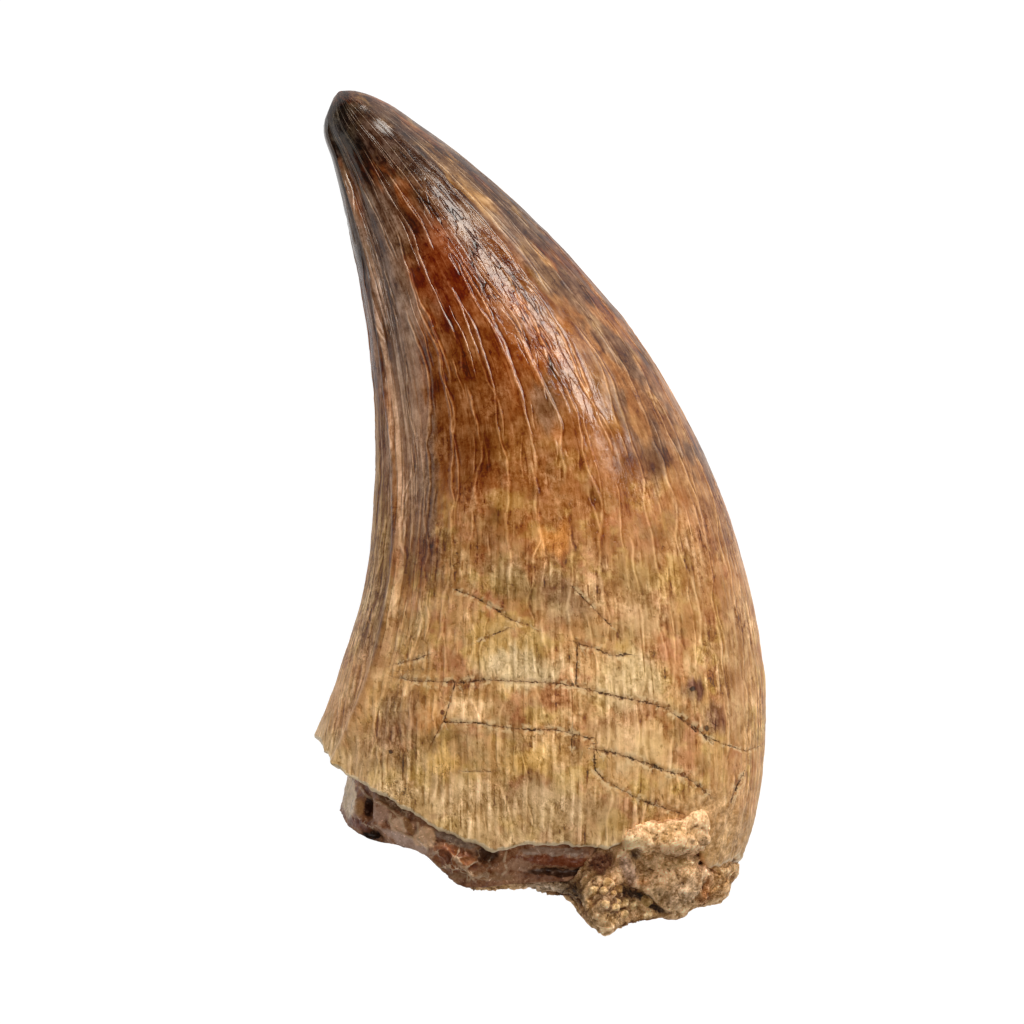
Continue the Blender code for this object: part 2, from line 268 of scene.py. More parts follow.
def oval_lumps(lumps, points, lowest=FRONT_STARTS):
    """Lumps and hollows, each a smooth oval in the plan, that fade in above some height."""
    shown = np.clip((points[:, 2] - lowest) / LUMP_FADE, 0, 1)
    relief = np.zeros(len(points))
    for (x, y), (long, short), turn, height in lumps:
        angle = math.radians(turn)
        dx, dy = points[:, 0] / MM - x, points[:, 1] / MM - y
        u = (dx * math.cos(angle) + dy * math.sin(angle)) / long
        v = (dy * math.cos(angle) - dx * math.sin(angle)) / short
        relief += height * MM * np.exp(-(u**2 + v**2)) * shown
    return relief


def ring_mesh(name, first, rings, last):
    """A closed mesh of rings between two end points, shaded smooth."""
    count = len(rings[0])
    points = np.concatenate([[first], *rings, [last]])
    faces = []
    for i in range(count):
        j = (i + 1) % count
        faces.append((0, 1 + j, 1 + i))
        faces.append((len(points) - 1, len(points) - 1 - count + i, len(points) - 1 - count + j))
        for row in range(len(rings) - 1):
            upper, below = 1 + row * count, 1 + (row + 1) * count
            faces.append((upper + i, upper + j, below + j, below + i))
    made = bpy.data.meshes.new(name)
    made.from_pydata(points.tolist(), [], faces)
    turned = bmesh.new()
    turned.from_mesh(made)
    bmesh.ops.recalc_face_normals(turned, faces=turned.faces)
    turned.to_mesh(made)
    turned.free()
    made.shade_smooth()
    thing = bpy.data.objects.new(name, made)
    bpy.context.collection.objects.link(thing)
    return thing


def write_attribute(thing, name, kind, values):
    """Store one value or vector for each point of a mesh."""
    field = thing.data.attributes.new(name, kind, "POINT")
    key = "vector" if kind == "FLOAT_VECTOR" else "value"
    field.data.foreach_set(key, np.ascontiguousarray(values, np.float32).ravel())


def build_crown():
    """The crown's plain skin with its edges, before the fine relief."""
    side = np.concatenate([
        np.linspace(0, 180, FRONT_COLUMNS, endpoint=False),
        np.linspace(180, 360, BACK_COLUMNS, endpoint=False),
    ])
    turn = np.stack([np.cos(np.radians(side)), np.sin(np.radians(side)), 0 * side], axis=-1)
    rim = straight(RIM, side) + RIM_CHIPPING * rough(turn, 0.06)
    levels = np.concatenate([
        np.linspace(CLOSING_ANGLE, FINE_FROM, UPPER_ROWS, endpoint=False),
        np.linspace(FINE_FROM, RIM_ANGLE, LOWER_ROWS),
    ])
    fans, rings = [], []
    for step in np.arange(1, TIP_ROWS + 1) / (TIP_ROWS + 1):
        fans.append(np.full(len(side), TIP_ANGLE + (CLOSING_ANGLE - TIP_ANGLE) * step**2))
        rings.append(wear_tip(surface(side, fans[-1])))
    for level in levels:
        step = (level - CLOSING_ANGLE) / (RIM_ANGLE - CLOSING_ANGLE)
        fans.append(level + (rim - RIM_ANGLE) * step**RIM_POWER)
        rings.append(wear_tip(surface(side, fans[-1], crown_relief(side, fans[-1]))))
    skin_rows = len(rings)
    for drop, depth in [(0.07, 0.22), (0.10, 0.6), (0.03, 0.95), (-0.6, 1.2), (-2.0, 1.4)]:
        fans.append(rim + drop)
        rings.append(surface(side, fans[-1], -depth * ENAMEL_THICKNESS))
    crown = ring_mesh("crown", section_middle(TIP_ANGLE), rings, section_middle(RIM_ANGLE - 4))

    def each(first, rows, last):
        return np.concatenate([[first], *rows, [last]])

    strands = [strand_place(side, fan) for fan in fans]
    write_attribute(crown, "strand", "FLOAT_VECTOR", each(strands[0].mean(axis=0), strands, strands[-1].mean(axis=0)))
    write_attribute(crown, "fan", "FLOAT", each(TIP_ANGLE, fans, RIM_ANGLE))
    write_attribute(crown, "side", "FLOAT", each(90.0, [side] * len(fans), 90.0))
    above = [np.radians(rim - fan) * 80 for fan in fans]
    write_attribute(crown, "above_rim", "FLOAT", each(60.0, above, 0.0))
    shown = [np.full(len(side), 1.0 if row < skin_rows else 0.0) for row in range(len(rings))]
    write_attribute(crown, "skin", "FLOAT", each(1.0, shown, 0.0))
    points = np.array([vert.co for vert in crown.data.vertices])
    signed, near = crack_field(points)
    write_attribute(crown, "crack", "FLOAT", signed)
    write_attribute(crown, "crack_near", "FLOAT", near)
    for name, spots in MARKS.items():
        write_attribute(crown, name, "FLOAT", np.clip(oval_lumps(spots, points, 0.003) / MM, 0, 1))
    return crown


crown = build_crown()


def node(tree, kind, inputs=None, **settings):
    """Add a node. Its inputs are given by name or number, as values or as the outputs to link to them."""
    made = tree.nodes.new(kind)
    for name, value in settings.items():
        setattr(made, name, value)
    for name, value in (inputs or {}).items():
        if isinstance(value, bpy.types.NodeSocket):
            tree.links.new(value, made.inputs[name])
        else:
            made.inputs[name].default_value = value
    return made


def total(tree, *parts):
    """The sum of several numbers."""
    result = parts[0]
    for part in parts[1:]:
        result = node(tree, "ShaderNodeMath", {0: result, 1: part}, operation="ADD").outputs[0]
    return result


def calc(tree, operation, first, second=0.0, clamp=False):
    """One sum on numbers."""
    return node(tree, "ShaderNodeMath", {0: first, 1: second}, operation=operation, use_clamp=clamp).outputs[0]


def grade(tree, value, low, high, to_low=0.0, to_high=1.0, kind="SMOOTHSTEP"):
    """Turn a value between low and high into one between to_low and to_high."""
    inputs = {"Value": value, "From Min": low, "From Max": high, "To Min": to_low, "To Max": to_high}
    return node(tree, "ShaderNodeMapRange", inputs, interpolation_type=kind).outputs["Result"]


def swing(tree, value, amount):
    """Turn a value from 0 to 1 into a step to either side of zero."""
    return calc(tree, "MULTIPLY", calc(tree, "SUBTRACT", value, 0.5), amount)


def stretched(tree, vector, factors):
    """A vector with each of its parts multiplied by its own factor."""
    return node(tree, "ShaderNodeVectorMath", {0: vector, 1: factors}, operation="MULTIPLY").outputs[0]


def grain(tree, vector, scale, detail=2.0, roughness=0.5, distortion=0.0):
    """Noise from 0 to 1."""
    inputs = {"Vector": vector, "Scale": scale, "Detail": detail, "Roughness": roughness, "Distortion": distortion}
    return node(tree, "ShaderNodeTexNoise", inputs).outputs[0]


def ribs(tree, strand, count, wander, seed):
    """Lines along the striae: how far off the nearest one is, in spacings, and a place along that line alone.

    The count is how many lie round the crown. Each strays from its own place by up to the wander. The
    distance is below zero on the line's left."""
    parts = node(tree, "ShaderNodeSeparateXYZ", {0: strand}).outputs
    turn = calc(tree, "DIVIDE", calc(tree, "ARCTAN2", parts[1], parts[0]), 2 * math.pi)
    across = calc(tree, "MULTIPLY", turn, float(count))
    number = calc(tree, "MULTIPLY", calc(tree, "FLOOR", across), 7.3)
    own = node(tree, "ShaderNodeCombineXYZ", {0: number, 1: parts[2], 2: seed}).outputs[0]
    stray = grain(tree, stretched(tree, own, (1.0, 0.17, 1.0)), 1.0, 2.0)
    stray = calc(tree, "MULTIPLY", calc(tree, "SUBTRACT", stray, 0.5), wander * 4.0)
    away = calc(tree, "SUBTRACT", calc(tree, "FRACT", across), calc(tree, "ADD", stray, 0.5))
    return away, own


def bold_ridges(tree, strand):
    """Long thin crests that cross at small angles, and the dark gutter right of each, from 0 to 1."""
    crests, gutters = 0.0, 0.0
    for count, wander, seed, rarity in RIDGE_FAMILIES:
        away, own = ribs(tree, strand, count, wander, seed)
        here = grade(tree, grain(tree, stretched(tree, own, (1.0, 0.14, 1.9)), 1.0, 3.0), rarity - 0.02, rarity + 0.06)
        thick = grade(tree, grain(tree, stretched(tree, own, (1.0, 0.7, 3.1)), 1.0, 3.0), 0.3, 0.7, 0.55, 1.35)
        away = calc(tree, "DIVIDE", away, thick)
        crest = calc(tree, "MULTIPLY", grade(tree, calc(tree, "ABSOLUTE", away), 0.0, 0.075, 1.0, 0.0), here)
        beside = calc(tree, "ABSOLUTE", calc(tree, "SUBTRACT", away, 0.10))
        gutter = calc(tree, "MULTIPLY", grade(tree, beside, 0.0, 0.085, 1.0, 0.0), here)
        crests = calc(tree, "MAXIMUM", crests, crest)
        gutters = calc(tree, "MAXIMUM", gutters, gutter)
    return crests, gutters


def fine_striae(tree, strand):
    """Fine ribs side by side, from 0 to 1: even towards the base and uneven above."""
    along = node(tree, "ShaderNodeSeparateXYZ", {0: strand}).outputs[2]
    away, own = ribs(tree, strand, STRIA_COUNT, 0.2, 27.0)
    away = calc(tree, "ABSOLUTE", away)
    strength = grade(tree, grain(tree, stretched(tree, own, (1.0, 0.5, 1.0)), 1.0, 4.0, 0.6), 0.36, 0.64, 0.1, 1.0)
    even = calc(tree, "MULTIPLY", grade(tree, away, 0.10, 0.34, 1.0, 0.0), strength)
    even = calc(tree, "MULTIPLY", even, grade(tree, along, -4.0, 16.0, 0.2, 0.9))
    uneven = grain(tree, stretched(tree, strand, (1.0, 1.0, 0.14)), 1.7, 4.0, 0.72)
    uneven = calc(tree, "MULTIPLY", uneven, grade(tree, along, 0.0, 14.0, 1.8, 1.2))
    return grade(tree, calc(tree, "ADD", even, uneven), 0.55, 1.50)


def threads(tree, strand, count, seed, rarity, thickness):
    """Short thin lines along the striae: 1 on a line and 0 elsewhere."""
    away, own = ribs(tree, strand, count, 0.3, seed)
    here = grade(tree, grain(tree, stretched(tree, own, (1.0, 0.42, 1.3)), 1.0, 3.0, 0.6), rarity, rarity + 0.05)
    line = grade(tree, calc(tree, "ABSOLUTE", away), thickness * 0.4, thickness, 1.0, 0.0)
    return calc(tree, "MULTIPLY", line, here)


def squiggles(tree, place, spacing):
    """Thin winding lines: 1 on a line and 0 elsewhere."""
    swirl = grain(tree, place, 0.8 / spacing, 2.0, 0.5, 0.8)
    return grade(tree, calc(tree, "ABSOLUTE", calc(tree, "SUBTRACT", swirl, 0.5)), 0.008, 0.03, 1.0, 0.0)


def edge_reeds(tree, side, fan):
    """Even reeds along the hollow side, beside the cutting edge, from -1 to 1."""
    place = node(tree, "ShaderNodeCombineXYZ", {
        0: calc(tree, "MULTIPLY", side, 0.36), 1: calc(tree, "MULTIPLY", fan, 0.09),
    }).outputs[0]
    reeds = grade(tree, grain(tree, place, 1.0, 3.0, 0.6), 0.45, 0.56, -1.0, 1.0)
    here = calc(tree, "MULTIPLY", grade(tree, side, 6.0, 12.0), grade(tree, side, 38.0, 50.0, 1.0, 0.0))
    here = calc(tree, "MULTIPLY", here, calc(tree, "MULTIPLY", grade(tree, fan, -22.0, -14.0), grade(tree, fan, 8.0, 15.0, 1.0, 0.15)))
    return calc(tree, "MULTIPLY", reeds, here)


def wrinkles(tree, strand, size):
    """Small worm-like wrinkles, from 0 to 1."""
    place = stretched(tree, strand, (1.0, 1.0, 0.5))
    swirl = grain(tree, place, calc(tree, "DIVIDE", 0.55, size), 2.0, 0.6, 1.2)
    return calc(tree, "ABSOLUTE", calc(tree, "SUBTRACT", calc(tree, "MULTIPLY", swirl, 4.0), 2.0), clamp=True)


def pits(tree, place, spacing, share):
    """Small round pits at random: 1 in a pit and 0 elsewhere."""
    inputs = {"Vector": place, "Scale": calc(tree, "DIVIDE", 1.0, spacing)}
    dots = node(tree, "ShaderNodeTexVoronoi", inputs, feature="F1")
    chosen = calc(tree, "LESS_THAN", node(tree, "ShaderNodeSeparateColor", {0: dots.outputs["Color"]}).outputs[0], share)
    return calc(tree, "MULTIPLY", grade(tree, dots.outputs["Distance"], 0.12, 0.26, 1.0, 0.0), chosen)


def new_nodes(name, sizes):
    """An empty Geometry Nodes tree with named size inputs, and its input node's outputs by name."""
    tree = bpy.data.node_groups.new(name, "GeometryNodeTree")
    tree.interface.new_socket("Geometry", in_out="INPUT", socket_type="NodeSocketGeometry")
    for size in sizes:
        tree.interface.new_socket(size, in_out="INPUT", socket_type="NodeSocketFloat")
    tree.interface.new_socket("Finish", in_out="INPUT", socket_type="NodeSocketMaterial")
    tree.interface.new_socket("Geometry", in_out="OUTPUT", socket_type="NodeSocketGeometry")
    return tree, tree.nodes.new("NodeGroupInput").outputs


def end_nodes(tree, geometry, finish):
    """End a tree in Realize Instances and Set Material."""
    real = node(tree, "GeometryNodeRealizeInstances", {0: geometry}).outputs[0]
    dressed = node(tree, "GeometryNodeSetMaterial", {"Geometry": real, "Material": finish}).outputs[0]
    node(tree, "NodeGroupOutput", {0: dressed})


def apply_nodes(thing, tree, values):
    """Run a tree on an object with its inputs set, and keep the result as the object's plain mesh."""
    modifier = thing.modifiers.new(tree.name, "NODES")
    modifier.node_group = tree
    sockets = {item.name: item.identifier for item in tree.interface.items_tree if item.in_out == "INPUT"}
    for name, value in values.items():
        modifier[sockets[name]] = value
    evaluated = thing.evaluated_get(bpy.context.evaluated_depsgraph_get())
    made = bpy.data.meshes.new_from_object(evaluated)
    thing.modifiers.clear()
    thing.data = made
    return thing


def read_number(tree, name):
    """A number stored on the geometry."""
    return node(tree, "GeometryNodeInputNamedAttribute", {"Name": name}, data_type="FLOAT").outputs[0]


def read_vector(tree, name):
    """A vector stored on the geometry."""
    return node(tree, "GeometryNodeInputNamedAttribute", {"Name": name}, data_type="FLOAT_VECTOR").outputs[0]


def raised(tree, geometry, height):
    """Move each point of a mesh out along its normal, but not below the table."""
    normal = node(tree, "GeometryNodeInputNormal").outputs[0]
    place = node(tree, "GeometryNodeInputPosition").outputs[0]
    offset = node(tree, "ShaderNodeVectorMath", {0: normal, "Scale": height}, operation="SCALE").outputs[0]
    moved = node(tree, "ShaderNodeVectorMath", {0: place, 1: offset}).outputs[0]
    held = node(tree, "ShaderNodeVectorMath", {0: moved, 1: (-1.0, -1.0, 0.0)}, operation="MAXIMUM").outputs[0]
    return node(tree, "GeometryNodeSetPosition", {"Geometry": geometry, "Position": held}).outputs[0]


ENAMEL_RELIEF = {
    "Ridge height": 0.00006,
    "Stria height": 0.00003,
    "Lump height": 0.00010,
    "Crust height": 0.00024,
    "Crack depth": CRACK_DEPTH,
}


def enamel_relief_tree():
    """Ridges, striae, shallow lumps and cracks over the whole skin."""
    tree, given = new_nodes("enamel_relief", ENAMEL_RELIEF)
    strand, fan = read_vector(tree, "strand"), read_number(tree, "fan")
    crests, gutters = bold_ridges(tree, strand)
    ridges = calc(tree, "SUBTRACT", crests, calc(tree, "MULTIPLY", gutters, 0.4))
    ridges = calc(tree, "MULTIPLY", ridges, given["Ridge height"])
    ridges = calc(tree, "MULTIPLY", ridges, grade(tree, fan, -2.0, 9.0, 1.0, 0.25))
    striae = calc(tree, "MULTIPLY", fine_striae(tree, strand), given["Stria height"])
    striae = calc(tree, "MULTIPLY", striae, grade(tree, fan, -6.0, 9.0, 0.2, 1.0))
    place = node(tree, "GeometryNodeInputPosition").outputs[0]
    lumps = grade(tree, grain(tree, place, 220.0, 3.0), 0.2, 0.8, -1.0, 1.0, "LINEAR")
    lumps = calc(tree, "MULTIPLY", lumps, given["Lump height"])
    crust = swing(tree, grain(tree, place, 900.0, 4.0, 0.65), 3.0)
    crust = calc(tree, "MULTIPLY", calc(tree, "MULTIPLY", crust, read_number(tree, "crusted")), given["Crust height"])
    height = total(tree, ridges, striae, lumps, crust)
    offset = calc(tree, "ABSOLUTE", read_number(tree, "crack"))
    groove = calc(tree, "MULTIPLY", grade(tree, offset, 0.2, 1.2, 1.0, 0.0), read_number(tree, "crack_near"))
    height = calc(tree, "SUBTRACT", height, calc(tree, "MULTIPLY", groove, given["Crack depth"]))
    tipwards = grade(tree, fan, -26.0, -10.0, 0.1, 1.0)
    shown = calc(tree, "MULTIPLY", read_number(tree, "skin"), tipwards)
    end_nodes(tree, raised(tree, given["Geometry"], calc(tree, "MULTIPLY", height, shown)), given["Finish"])
    return tree


def tint(red, green, blue):
    """A colour as it looks on screen, from 0 to 255, turned into the light it stands for."""
    def linear(part):
        return ((part / 255 + 0.055) / 1.055) ** 2.4
    return (linear(red), linear(green), linear(blue), 1.0)


def mixed(tree, factor, first, second, kind="MIX"):
    """Blend two colours."""
    inputs = {0: factor, 6: first, 7: second}
    return node(tree, "ShaderNodeMix", inputs, data_type="RGBA", blend_type=kind).outputs[2]


def oval(tree, place, spot, inner=0.45):
    """A soft oval that fades from its strength in the middle to 0 outside, in millimetres of the plan."""
    (x, y), (long, short), turn, strength = spot
    inputs = {"Vector": place, "Location": (x, y, 0), "Rotation": (0, 0, math.radians(turn)), "Scale": (long, short, 1e4)}
    inside = node(tree, "ShaderNodeMapping", inputs, vector_type="TEXTURE").outputs[0]
    away = node(tree, "ShaderNodeVectorMath", {0: inside}, operation="LENGTH").outputs["Value"]
    return grade(tree, away, inner, 1.7 - inner, strength, 0.0)


def stain_or_painted_light(tree, under, place, spot, inner=0.45, shown=None):
    """Lay a soft oval of another colour over a colour, where it is shown: a stain, or painted shade or a painted sheen.
    """
    at, size, turn, color, strength = spot
    factor = oval(tree, place, (at, size, turn, strength), inner)
    if shown is not None:
        factor = calc(tree, "MULTIPLY", factor, shown)
    return mixed(tree, factor, under, tint(*color))


def upper_side(tree, place):
    """1 where a piece faces up on the side that shows, and 0 on steep faces and on the underside."""
    high = grade(tree, node(tree, "ShaderNodeSeparateXYZ", {0: place}).outputs[2], 6.0, 9.0)
    normal = node(tree, "ShaderNodeNewGeometry").outputs["Normal"]
    facing = grade(tree, node(tree, "ShaderNodeSeparateXYZ", {0: normal}).outputs[2], 0.0, 0.3)
    return calc(tree, "MULTIPLY", high, facing)


def new_material(name):
    """A material with a Principled shader, its tree and the object's own coordinates in millimetres."""
    made = bpy.data.materials.new(name)
    made.use_nodes = True
    tree = made.node_tree
    place = stretched(tree, node(tree, "ShaderNodeTexCoord").outputs["Object"], (1000.0, 1000.0, 1000.0))
    return made, tree, tree.nodes["Principled BSDF"], place


def attribute(tree, name, output="Fac"):
    """A value stored on the mesh, for a material."""
    return node(tree, "ShaderNodeAttribute", attribute_name=name).outputs[output]


# The enamel darkens towards the tip: fan angle and colour
ENAMEL_COLORS = [
    (-26, (44, 26, 18)), (-21, (62, 36, 22)), (-16, (92, 54, 30)), (-11, (118, 66, 32)), (-5, (144, 86, 42)),
    (1, (164, 104, 54)), (6, (182, 128, 74)), (10, (206, 156, 100)), (15, (208, 158, 98)), (20, (202, 160, 108)),
]
# Stains, and two ovals that paint a pale greyish sheen down the hollow side: place, half length and half width, turn,
# colour, strength
ENAMEL_STAINS_AND_SHEEN = [
    ((6.4, 9.0), (9.0, 2.6), -56, (156, 106, 54), 0.6),
    ((-4.4, 25.0), (7.0, 0.7), -44, (74, 50, 36), 0.75),
    ((-7.5, 22.5), (2.6, 5.6), 24, (84, 50, 28), 0.7),
    ((-14.2, 28.4), (1.8, 2.8), 20, (22, 12, 7), 0.92),
    ((-10.2, 27.2), (5.2, 1.6), -36, (66, 42, 30), 0.9),
    ((-13.4, 30.6), (2.4, 0.6), -8, (80, 44, 24), 0.8),
    ((-5.9, 24.2), (4.0, 0.5), -44, (166, 120, 66), 0.8),
    ((-1.6, 21.9), (3.2, 1.3), -47, (72, 48, 32), 0.85),
    ((0.0, 17.7), (2.8, 0.55), -56, (168, 120, 66), 0.8),
    ((-6.8, 17.2), (2.2, 4.6), 20, (112, 46, 10), 0.95),
    ((-3.6, 12.2), (2.4, 5.0), 22, (136, 70, 26), 0.7),
    ((-5.4, 7.2), (3.2, 7.4), 4, (118, 62, 18), 0.8),
    ((-13.7, 21.4), (1.0, 4.8), 14, (98, 74, 58), 0.85),
    # Painted reflection: these two lay a pale, greyish sheen down the hollow side beside the cutting edge
    ((-10.8, 14.6), (1.9, 9.0), 8, (124, 94, 74), 0.9),
    ((-9.9, 3.6), (1.6, 9.0), 2, (176, 134, 102), 0.85),
    ((-12.0, -1.0), (0.9, 10.0), 2, (170, 122, 62), 0.9),
    ((0.4, 7.4), (1.4, 2.0), 20, (116, 84, 60), 0.7),
    ((4.6, 12.8), (1.3, 4.4), 35, (170, 112, 60), 0.6),
    ((9.2, 7.4), (2.0, 5.4), 26, (128, 82, 46), 0.75),
    ((12.0, 1.6), (1.7, 6.0), 14, (146, 96, 50), 0.8),
    ((15.0, -6.0), (1.3, 9.0), 5, (176, 126, 78), 0.6),
    ((0.9, -2.3), (1.4, 1.3), 0, (214, 140, 66), 0.8),
    ((-0.8, -18.5), (2.0, 1.2), 0, (238, 190, 116), 0.9),
    ((4.4, -15.9), (1.5, 1.0), 0, (164, 112, 70), 0.7),
    ((1.1, -13.7), (1.1, 1.3), 0, (176, 112, 64), 0.75),
    ((1.4, -10.8), (1.3, 1.0), 0, (202, 142, 84), 0.7),
    ((-9.3, -14.1), (1.2, 1.7), 0, (170, 112, 56), 0.75),
    ((-5.2, -14.1), (1.7, 1.1), 0, (240, 192, 138), 0.85),
    ((-1.8, -21.6), (6.6, 1.4), -6, (228, 190, 142), 0.7),
    ((4.4, -22.3), (1.2, 1.1), 0, (172, 132, 84), 0.6),
    ((14.0, -14.0), (1.3, 3.0), 0, (182, 130, 82), 0.7),
    ((14.6, -20.4), (1.0, 2.0), 10, (214, 158, 104), 0.8),
    ((7.3, -8.0), (2.0, 1.8), 0, (220, 178, 128), 0.7),
    ((-8.2, -0.4), (0.8, 5.5), 4, (122, 84, 56), 0.7),
    ((-7.9, 4.0), (0.7, 7.0), 2, (116, 78, 50), 0.7),
    ((1.8, -6.4), (2.8, 2.0), -20, (142, 108, 74), 0.65),
    ((-2.2, -5.0), (2.4, 1.6), -30, (142, 116, 66), 0.6),
    ((6.8, -5.2), (2.4, 2.4), 0, (158, 118, 64), 0.65),
    ((11.6, -5.4), (1.8, 4.0), 10, (160, 108, 54), 0.5),
    ((-1.6, -11.6), (3.6, 1.2), -4, (228, 200, 154), 0.8),
    ((6.8, -12.8), (2.6, 2.4), -20, (222, 190, 140), 0.75),
    ((11.1, -13.2), (0.9, 1.0), 0, (96, 48, 40), 0.85),
    ((12.4, -15.6), (0.7, 1.2), 10, (120, 74, 58), 0.75),
    ((-8.2, -15.2), (1.8, 1.2), 0, (206, 142, 76), 0.6),
    ((-7.4, -19.0), (1.4, 1.1), 0, (230, 180, 100), 0.8),
    ((-10.6, -15.8), (1.6, 3.0), -20, (150, 108, 74), 0.6),
    ((14.2, -12.0), (1.5, 6.0), 0, (170, 122, 74), 0.8),
    ((-14.2, -13.6), (1.6, 4.6), -24, (200, 146, 96), 0.75),
    ((-11.8, -8.6), (1.6, 4.4), -6, (162, 118, 78), 0.7),
    ((-12.6, -17.6), (2.4, 2.0), 0, (184, 142, 98), 0.6),
    ((6.8, -17.4), (3.4, 2.0), -20, (226, 186, 132), 0.6),
]


# Where flat ridges and wrinkles gleam, where the colour gets a painted highlight and the gloss is higher, and where the
# crust lies over the rim: place, sizes, turn, strength
GLEAMING = ((-2.6, 15.9), (13.0, 1.9), -53.5, 1.0)
COVERED_RIM = ((11.6, -22.4), (5.4, 4.4), 0, 1.0)


DARKEST_SHARE = 0.45


def shaded(tree, color, step):
    """A colour made lighter or darker by the same step on screen in its red, green and blue.

    It never falls below a share of what it was, so dark detail keeps its hue."""
    shown = node(tree, "ShaderNodeGamma", {0: color, 1: 1 / 2.2}).outputs[0]
    moved = node(tree, "ShaderNodeVectorMath", {0: shown, 1: step}).outputs[0]
    least = stretched(tree, shown, (DARKEST_SHARE, DARKEST_SHARE, DARKEST_SHARE))
    held = node(tree, "ShaderNodeVectorMath", {0: moved, 1: least}, operation="MAXIMUM").outputs[0]
    return node(tree, "ShaderNodeGamma", {0: held, 1: 2.2}).outputs[0]


def drifted(tree, place, by, scale, amount):
    """A place moved by noise, so that what is drawn there gets a ragged outline."""
    shift = node(tree, "ShaderNodeTexNoise", {"Vector": by, "Scale": scale, "Detail": 4.0, "Roughness": 0.6}).outputs[1]
    shift = node(tree, "ShaderNodeVectorMath", {0: shift, 1: (0.5, 0.5, 0.5)}, operation="SUBTRACT").outputs[0]
    return node(tree, "ShaderNodeVectorMath", {0: place, 1: stretched(tree, shift, amount)}).outputs[0]


def patches(tree, color, place, scale, strength, spot_color, rarity):
    """Ragged patches of another colour, where noise is above some rarity."""
    cloud = grain(tree, place, scale, 3.0, 0.6)
    return mixed(tree, grade(tree, cloud, rarity - 0.04, rarity + 0.10, 0.0, strength), color, tint(*spot_color))


